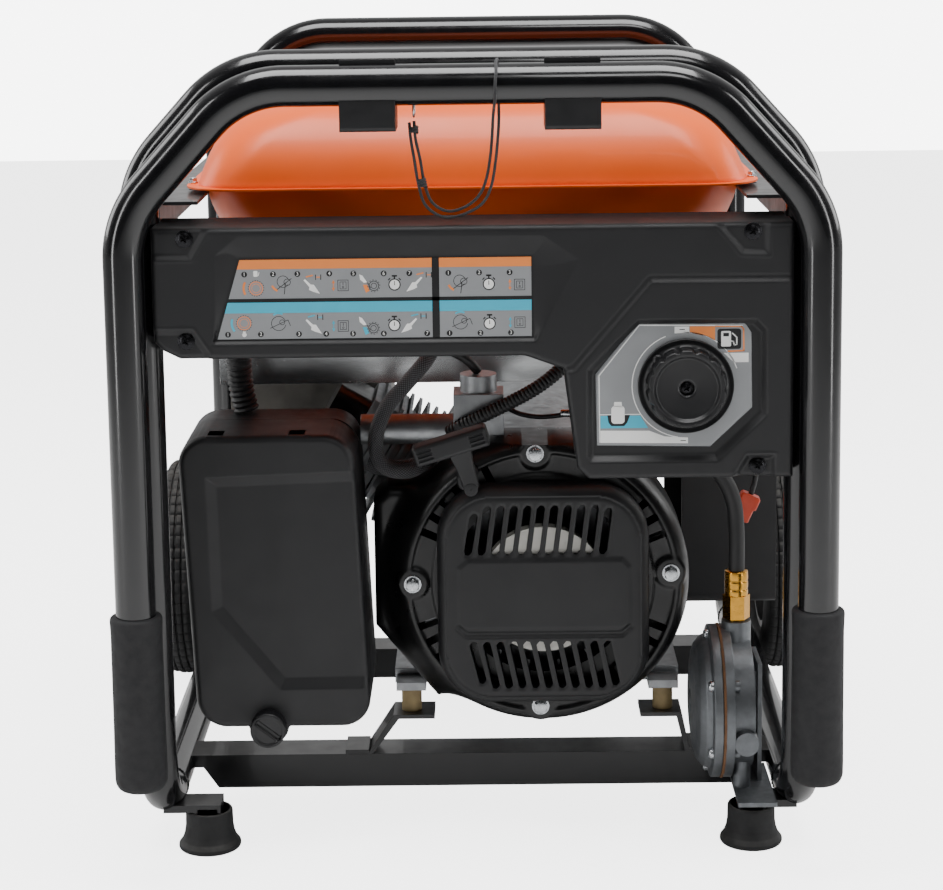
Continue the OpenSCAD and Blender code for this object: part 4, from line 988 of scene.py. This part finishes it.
def slot_shape(top, bottom, width):
    """A slanted slot with pointed ends."""
    (xt, zt), (xb, zb) = top, bottom
    h = width / 2
    return [(xt - h, zt - 3.4), (xt - h * 0.2, zt), (xt + h * 0.7, zt - 0.4), (xt + h, zt - 3.4), (xb + h, zb + 3.4),
            (xb + h * 0.2, zb), (xb - h * 0.7, zb + 0.4), (xb - h, zb + 3.4)]


SLOTS = []
for k in range(11):
    short = 7 if k == 0 else (3 if k == 10 else 0)
    SLOTS.append(slot_shape((-2.3 + 12.1 * k, 317 - short), (-7.7 + 12.15 * k, 271), 7.4))
    SLOTS.append(slot_shape((-4 + 12.15 * k, 190.5), (4 + 12.1 * k, 146 + short * 0.7), 7.4))
COVER_C = (60, 232)


def cover_outline(p):
    s = rounded_rect(p, *COVER_C, 96, 101, 50)
    for slot_poly in SLOTS:
        near = np.abs(p[:, 0] - slot_poly[0][0]) < 40
        d = np.full(len(p), -50.0)
        d[near] = -signed(slot_poly, p[near])
        s = np.maximum(s, d)
    return s


def cover_front(p):
    edge = rounded_rect(p, *COVER_C, 96, 101, 50)
    y = -267 + rim_drop(edge, 13)
    field = signed([(-16, 206), (-12, 203), (133, 203), (137, 206), (137, 259), (131, 266), (-8, 266), (-16, 259)], p)
    y += 1.3 * (1 - slope(-field, -3, 1.5)) * (edge < -8)
    groove = np.hypot(p[:, 0] - np.clip(p[:, 0], -10, 131), p[:, 1] - 197)
    for a, b in (((-10, 197), (-17, 204)), ((131, 197), (138, 204))):
        a, b = np.array(a, float), np.array(b, float)
        t = np.clip(((p - a) @ (b - a)) / ((b - a) @ (b - a)), 0, 1)
        groove = np.minimum(groove, np.linalg.norm(p - a - t[:, None] * (b - a), axis=1))
    y += 2.0 * step(-groove, -3.4, -1.0)
    for poly in SLOTS:
        near = np.abs(p[:, 0] - poly[0][0]) < 30
        s = signed(poly, p[near])
        y[near] += 0.8 * step(-s, -2.2, 0)
    return y


recoil = relief("recoil_cover_moulding", (-36.4, 130.6, 156.4, 333.4), 1.1, cover_outline, cover_front, -240.3,
                moulded, slot="panel_plastic", sharp=55)
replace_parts(recoil, "recoil_cover")

SHROUD = [(-95, 190), (-95, 310), (-82, 322), (-36, 322), (60, 300), (60, 150), (-38, 121)]


def shroud_body(p):
    r = np.hypot(p[:, 0] - CRANK[0], p[:, 1] - CRANK[1])
    a, b = r - 135, signed(SHROUD, p)
    h = np.clip(0.5 + 0.5 * (b - a) / 14, 0, 1)
    return b * (1 - h) + a * h - 14 * h * (1 - h)


def vent_holes(p):
    """Distance inside the radial vents round the cover, negative within one."""
    r = np.hypot(p[:, 0] - CRANK[0], p[:, 1] - CRANK[1])
    w = np.degrees(np.arctan2(p[:, 1] - CRANK[1], p[:, 0] - CRANK[0])) % 360
    best = np.full(len(p), 50.0)
    for start, end in ((18, 48), (112, 166), (196, 246), (294, 342)):
        for c in np.arange(start + 4, end - 2, 8):
            across = np.abs((w - c + 180) % 360 - 180) * math.pi / 180 * r - 3.6
            best = np.minimum(best, np.maximum(across, np.abs(r - 112) - 9))
    return best


def shroud_outline(p):
    r = np.hypot(p[:, 0] - CRANK[0], p[:, 1] - CRANK[1])
    return np.maximum.reduce([shroud_body(p), 84 - r, -vent_holes(p)])


def shroud_front(p):
    r = np.hypot(p[:, 0] - CRANK[0], p[:, 1] - CRANK[1])
    y = -240 + 26 * step(r, 122, 152) + rim_drop(shroud_body(p), 9)
    y += 2.2 * step(r, 100, 103) * step(-r, -122, -119)
    for x, z in HOUSING_BOLTS:
        d = np.hypot(p[:, 0] - x, p[:, 1] - z)
        y = y + (-240 - y) * step(-d, -17, -12)
    return y


shroud = relief("fan_shroud_moulding", (-95.6, 102.6, 195.6, 366.6), 1.5, shroud_outline, shroud_front, -165,
                shroud_black, slot="black_plastic", sharp=50)
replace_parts(shroud, "fan_housing")

# Pull handle: a grooved bar on a stem, and the rope behind it.
tilt = (Matrix.Translation((-0.021, -0.300, 0.381)) @ Matrix.Rotation(math.radians(-17), 4, "Y"))


def bar_front(p):
    s = rounded_rect(p, 0, 0, 34, 9, 3)
    y = -10 + rim_drop(s, 4)
    for x in (-24, 24):
        for dz in (-3.8, 0, 3.8):
            d = np.maximum(np.abs(p[:, 0] - x) - 6.5, np.abs(p[:, 1] - dz) - 0.9)
            y = y + 1.6 * step(-d, -0.5, 0.5)
    return y


pull_front = relief("pull_handle_bar", (-34.3, -9.3, 34.3, 9.3), 0.6, lambda p: rounded_rect(p, 0, 0, 34, 9, 3),
                    bar_front, 10, moulded, body="pull", slot="black_plastic", sharp=50, move=tilt)
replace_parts(pull_front, "pull_handle")
lofted("pull_handle_back", [[(x, y, z) for x, z in round_box((-34 + i, -9 + i), (34 - i, 9 - i), 3)]
                            for i, y in ((0, 9.9), (0.8, 10.6), (3, 11))], moulded, body="pull", slot="black_plastic",
       move=tilt)
lofted("pull_handle_stem", [[(6 + x, y, z) for x, y in round_box((-w, -d), (w, d), 2)]
                            for z, w, d in ((-42, 6.5, 5), (-34, 7, 5.5), (-20, 8, 6.5), (-8, 10, 8))], moulded,
       body="pull", slot="black_plastic", move=tilt)
turned("pull_handle_neck", "y", (-4, 0, 342), rounded([(0.5, -306), (6, -306), (6.5, -303), (6, -284), (4.5, -274),
       (0.5, -273.6)], 1.5), moulded, body="pull", slot="black_plastic", caps=False)
rope_path = spline([(-5, -276, 342), (-7, -262, 342), (-7, -248, 342), (-4, -243, 337)], 10)
tube("starter_rope", rope_path, 1.9, paracord, sides=10, slot="cord")
guide = turned("rope_guide_ring", "y", (-7, 0, 342), rounded([(4, -272), (5.6, -273.6), (8.6, -273.6), (9.8, -271),
               (9.4, -262), (9.6, -240.5), (4, -240.5), (4, -272)], 1.2), moulded, slot="black_plastic", caps=False)
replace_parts(guide, "rope_guide")

# Air-cleaner cover: shallow moulded box with a bevelled polygon and a rounded edge.
AIR = (-265, 119, -108, 388)
AIR_LEAN = 12
AIR_OUT = [(-240, 351), (-90, 356), (-90, 155.5), (-178, 154.8), (-237.5, 228)]
AIR_C = ((AIR[0] + AIR[2]) / 2, (AIR[1] + AIR[3]) / 2)
AIR_H = ((AIR[2] - AIR[0]) / 2, (AIR[3] - AIR[1]) / 2)


def air_body(p):
    upright = p - np.stack([AIR_LEAN * (AIR[3] - p[:, 1]) / (AIR[3] - AIR[1]), 0 * p[:, 1]], 1)
    return rounded_rect(upright, *AIR_C, *AIR_H, 27)


def air_outline(p):
    return np.minimum(air_body(p), np.hypot(p[:, 0] + 189, p[:, 1] - 121) - 18)


def air_front(p):
    s = air_body(p)
    lug = np.hypot(p[:, 0] + 189, p[:, 1] - 121)
    y = -287 + rim_drop(s, 6)
    y += 4.2 * slope(-signed(AIR_OUT, p), 0, 9.5)
    y = np.where(lug < 19, np.minimum(y, -284.5 + rim_drop(lug - 19, 2)), y)
    return y


air = relief("air_cleaner_moulding", (-265.6, 102, -95, 388.6), 1.2, air_outline, air_front, -215.6, moulded,
             body="air_cover", slot="black_plastic", sharp=50)
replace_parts(air, "air_cleaner_cover")
for i, x in enumerate((-231, -158.5)):
    clip = [[(x + a, y, z) for a, z in round_box((-8, 385.5 - d), (8, 388 - d), 0.8)] for y, d in
            ((-284, 0.4), (-283, 0), (-262, 0), (-261, 0.4))]
    lofted(f"air_clip_{i}", clip, knob_black, body="air_cover", slot="black_plastic")


def air_knob_front(p):
    q = p - np.array([-189, 121])
    a = math.radians(38)
    u = q[:, 0] * math.cos(a) - q[:, 1] * math.sin(a)
    v = q[:, 0] * math.sin(a) + q[:, 1] * math.cos(a)
    d = np.hypot(q[:, 0], q[:, 1])
    y = -301 + rim_drop(d - 16, 1.6) + 1.2 * step(-d, -13.4, -12.2)
    return y + 2.6 * step(-np.maximum(np.abs(v) - 2.1, np.abs(u) - 13), -0.8, 0.4)


air_nut = relief("air_knob_disc", (-205.4, 104.6, -172.6, 137.4), 0.7,
                 lambda p: np.hypot(p[:, 0] + 189, p[:, 1] - 121) - 16, air_knob_front, -287.4, knob_black,
                 body="air_knob", slot="black_plastic", sharp=50)
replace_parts(air_nut, "air_knob")

# ---------------------------------------------------------------- hoses behind the panel

# A braided loom and a corrugated sleeve that hang in front of the carburettor.
front_looms = {
    "loom_braid": ([(-36, -196, 452), (-46, -211, 438), (-62, -214, 420), (-80, -214, 399), (-90, -214, 376),
                    (-91, -214, 355), (-82, -214, 341), (-66, -212, 337), (-52, -204, 340), (-40, -186, 350)],
                   7.0, loom_braid),
    "corrugated_sleeve": ([(-24, -208, 372), (-12, -214, 380), (6, -217, 389), (33, -217, 402), (58, -217, 416),
                           (78, -212, 431), (92, -202, 446)],
                          lambda s: 6.3 + 0.5 * math.sin(s / 3.6 * math.tau), hose_rubber),
}
for name, (route, radius, material) in front_looms.items():
    tube(name, resample(spline(route, 10), 1.2), radius, material, sides=28, side=(0, 1, 0.1), slot="rubber_black")

HOSES = {
    "gas_hose": ([(238, -225, 243), (238, -225, 278), (235, -226, 308), (226, -228, 330), (210, -230, 350),
                  (192, -230, 366), (180, -229, 384), (175, -226, 402), (174, -222, 424), (176, -226, 438),
                  (177, -238, 442), (177, -252, 442), (177, -267.5, 442)], 7.5, hose_rubber),
    "fuel_hose": ([(-40, -205, 544.5), (-44, -206, 520), (-52, -208, 490), (-40, -206, 460), (-10, -198, 440),
                   (3, -192, 426)], 4.5, hose_rubber),
    "breather_hose": ([(-212, -185, 391), (-217, -187, 418), (-216, -195, 460), (-205, -198, 500), (-200, -200, 543)],
                      lambda s: 11.0 + 1.0 * math.sin(s / 5.2 * math.tau), hose_rubber),
    "loom_sleeve": ([(-101, -190, 341), (-90, -190, 337), (-70, -188, 334), (-52, -180, 336), (-40, -162, 346),
                     (-28, -140, 354)], 8.0, loom_braid),
    "throttle_cable": ([(28, -192, 392), (42, -196, 386), (62, -200, 384), (90, -205, 388), (125, -222, 395),
                        (163, -303.5, 404)], 2.25, knob_black)}
for i, (name, (route, r, material)) in enumerate(HOSES.items()):
    line = tube(name, resample(spline(route, 10), 0.9 if callable(r) else 2.5), r, material, sides=28,
                slot="rubber_black")
    if i == 0:
        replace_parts(line, "hoses")
turned("hose_ferrule", "z", (238, -225, 0), rounded([(9.9, 220), (10.8, 220.4), (10.8, 226), (10.1, 227),
       (10.8, 228), (10.8, 234), (10.1, 235), (10.8, 236), (10.6, 243.6), (7.6, 244.4)], 0.6), brass, caps=False,
       slot="brass")

turn_plug = Matrix.Translation((0.249, -0.200, 0.297)) @ Matrix.Rotation(math.radians(24), 4, "Y")
lofted("lead_connector", [[(x, y, z) for x, y in round_box((-w, -6), (w, 6), 2)]
                          for z, w in ((-13, 6), (-12, 7.5), (0, 7.5), (1, 9.5), (11, 9.5), (13, 8))], orange_plastic,
       slot="red_plastic", move=turn_plug)
lead_route = [(254, -200, 309), (258, -202, 330), (250, -212, 352), (236, -225, 366)]
tube("connector_lead", resample(spline(lead_route, 8), 2.5), 2.6, hose_rubber, sides=14, slot="rubber_black")
turned("cable_crimp", "x", (0, -205.4, 388.4), rounded([(2.3, 78), (3.6, 78.4), (3.8, 99), (2.3, 99.6)], 0.5), zinc,
       sides=28, caps=False, slot="zinc_steel")

# ---------------------------------------------------------------- gas regulator

REG = (0, -225, 120)
dome_profile = [(0.5, 194), (9, 194), (11, 196), (28, 195.4), (44, 197.5), (54, 200.6), (60, 206), (62, 211.4),
                (70, 212.4), (70, 220.6), (60, 220.8)]
dome = turned("regulator_dome", "x", REG, rounded(dome_profile, 1.2), regulator_cast, caps=False, slot="cast_alloy")
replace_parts(dome, "regulator_cover")
turned("regulator_gasket", "x", REG, [(62, 220.8), (70.3, 220.8), (70.3, 223), (62, 223)], gasket_brown, sides=180,
       shape=lambda r, w, row: r + (0.7 * math.sin(w * 24) if r > 68 else 0), caps=False, slot="cast_alloy")
for i, a in enumerate(range(30, 390, 60)):
    y, z = REG[1] + 63 * math.cos(math.radians(a)), REG[2] + 63 * math.sin(math.radians(a))
    turned(f"regulator_screw_{i}", "x", (0, y, z),
           rounded([(0.3, 207.4), (3.6, 207.6), (5, 209.4), (5, 212.6), (0.3, 212.6)], 0.5), zinc, sides=32,
           caps=False, slot="zinc_steel")

# ---------------------------------------------------------------- feet and wheels

foot_profile = [(12, 0.2), (27.4, 0), (28.5, 1.6), (28.4, 4.2), (25, 8.6), (23, 14), (21.8, 21), (21.5, 34), (20.6, 36),
                (18.6, 36), (17.6, 30), (15.5, 14), (14.6, 12.4), (0.5, 12.2)]
for i, s in enumerate((-1, 1)):
    foot = turned(f"rubber_foot_{i}", "z", (s * 248, -266, 0), rounded(foot_profile, 1.0), foot_rubber, caps=False,
                  slot="rubber_black")
    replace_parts(foot, "rubber_feet")
    turned(f"foot_sole_{i}", "z", (s * 248, -266, 0), [(0.5, 0.6), (12.4, 0.6), (12.4, 0.2), (12, 0)], foot_rubber,
           caps=False, slot="rubber_black")

AXLE = (0, 250, 120.5)
half_tread = [(76, -15), (90, -20.6), (104, -21), (110, -19.6), (115.5, -16.5), (118.6, -12), (118.6, -8.5),
              (116.2, -8.2), (116.2, -6.8), (119.6, -6.4), (120.2, -1.2), (117.6, -1)]
tread = half_tread + [(r, -x) for r, x in reversed(half_tread)]


def tread_blocks(r, w, row):
    deep = 1.7 if (w * 60 / math.tau) % 1 > 0.82 and r > 117.8 else 0
    return min(r, 120.4) - deep


for i, (s, side) in enumerate(((-1, "left"), (1, "right"))):
    tyre = turned(f"tyre_{side}_ribbed", "x", (s * 330, AXLE[1], AXLE[2]), rounded(tread, 1.0, 2), tyre_rubber,
                  sides=360, shape=tread_blocks, body=f"wheel_{side}", slot="tyre_rubber", caps=False, sharp=40)
    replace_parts(tyre, f"tyre_{side}")

# ---------------------------------------------------------------- finishes of the CAD nodes

FINISH = {
    "foot_legs": black_steel, "cross_members": black_steel, "engine_mounts": black_steel, "tank_rails": black_steel,
    "axles": steel, "handle_saddles": moulded_soft, "lock_pin": zinc, "isolators": tan_rubber,
    "rim_left": black_steel, "rim_right": black_steel, "selector_valve": cast, "crankcase": cast, "barrel": cast,
    "cylinder_head": cast, "valve_cover": black_steel, "recoil_pulley": white_plastic, "flywheel": cast,
    "crankshaft": steel, "carburettor": cast, "air_cleaner_base": moulded_soft, "air_filter": paper,
    "muffler": muffler_steel, "heat_shield": sheet_alloy, "alternator_housing": cast, "stator": copper,
    "rotor": steel, "end_cover": moulded_soft, "control_panel": moulded_soft, "outlets": white_plastic,
    "outlet_cover_a": knob_black, "outlet_cover_b": knob_black, "rocker_switch": red_plastic,
    "breaker_button": white_plastic, "regulator_body": regulator_cast, "brass_fitting": brass,
}
for name, material in FINISH.items():
    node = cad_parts[name]
    node.data.materials.clear()
    node.data.materials.append(material)

# ---------------------------------------------------------------- floor and light

floor_mesh = bpy.data.meshes.new("floor")
floor_mesh.from_pydata([(-6, -6, 0), (6, -6, 0), (6, 6, 0), (-6, 6, 0)], [], [(0, 1, 2, 3)])
white = Graph("pale_studio_floor")
seen = white.add("ShaderNodeLightPath").outputs["Is Camera Ray"]
white.feed(Base_Color=white.mixed(white.noise(400), lin("#f1f1f1"), lin("#f7f7f7")), Roughness=0.75,
           Emission_Color=lin("#ffffff"), Emission_Strength=white.math("MULTIPLY", seen, 3.6))
floor_mesh.materials.append(white.material)
floor = bpy.data.objects.new("floor", floor_mesh)
bpy.context.scene.collection.objects.link(floor)

world = bpy.data.worlds.new("studio")
bpy.context.scene.world = world
world.use_nodes = True
sky = world.node_tree
backdrop = sky.nodes["Background"]
backdrop.inputs[0].default_value = (1, 1, 1, 1)
path_node = sky.nodes.new("ShaderNodeLightPath")
where = sky.nodes.new("ShaderNodeTexCoord")
split = sky.nodes.new("ShaderNodeSeparateXYZ")
sky.links.new(where.outputs["Generated"], split.inputs[0])
# The room is darker on the near side, so that gloss black stays black between the softboxes.
depth = sky.nodes.new("ShaderNodeMapRange")
for key, value in {"From Min": -0.35, "From Max": 1.0, "To Min": 0.03, "To Max": 0.8}.items():
    depth.inputs[key].default_value = value
sky.links.new(split.outputs[1], depth.inputs["Value"])
choose = sky.nodes.new("ShaderNodeMix")
choose.inputs[3].default_value = 7.0
sky.links.new(path_node.outputs["Is Camera Ray"], choose.inputs[0])
sky.links.new(depth.outputs[0], choose.inputs[2])
sky.links.new(choose.outputs[0], backdrop.inputs[1])


def softbox(name, at, aim, width, height, watts):
    data = bpy.data.lights.new(name, "AREA")
    data.shape, data.size, data.size_y, data.energy = "RECTANGLE", width, height, watts
    light = bpy.data.objects.new(name, data)
    bpy.context.scene.collection.objects.link(light)
    light.location = at
    light.rotation_euler = (Vector(aim) - Vector(at)).to_track_quat("-Z", "Y").to_euler()


softbox("overhead_soft", (0, -0.5, 2.5), (0, 0, 0.4), 2.0, 1.2, 72)
softbox("left_strip", (-1.9, -1.5, 1.0), (0, -0.2, 0.45), 0.25, 2.4, 17)
softbox("right_strip", (1.9, -1.4, 1.0), (0, -0.2, 0.45), 0.25, 2.4, 17)
softbox("left_side", (-2.2, 0.6, 1.3), (0, 0, 0.4), 1.0, 1.4, 16)
softbox("right_side", (2.2, 0.6, 1.3), (0, 0, 0.4), 1.0, 1.4, 16)
softbox("front_fill", (0.6, -2.6, 2.9), (0, 0, 0.4), 1.0, 0.6, 12)
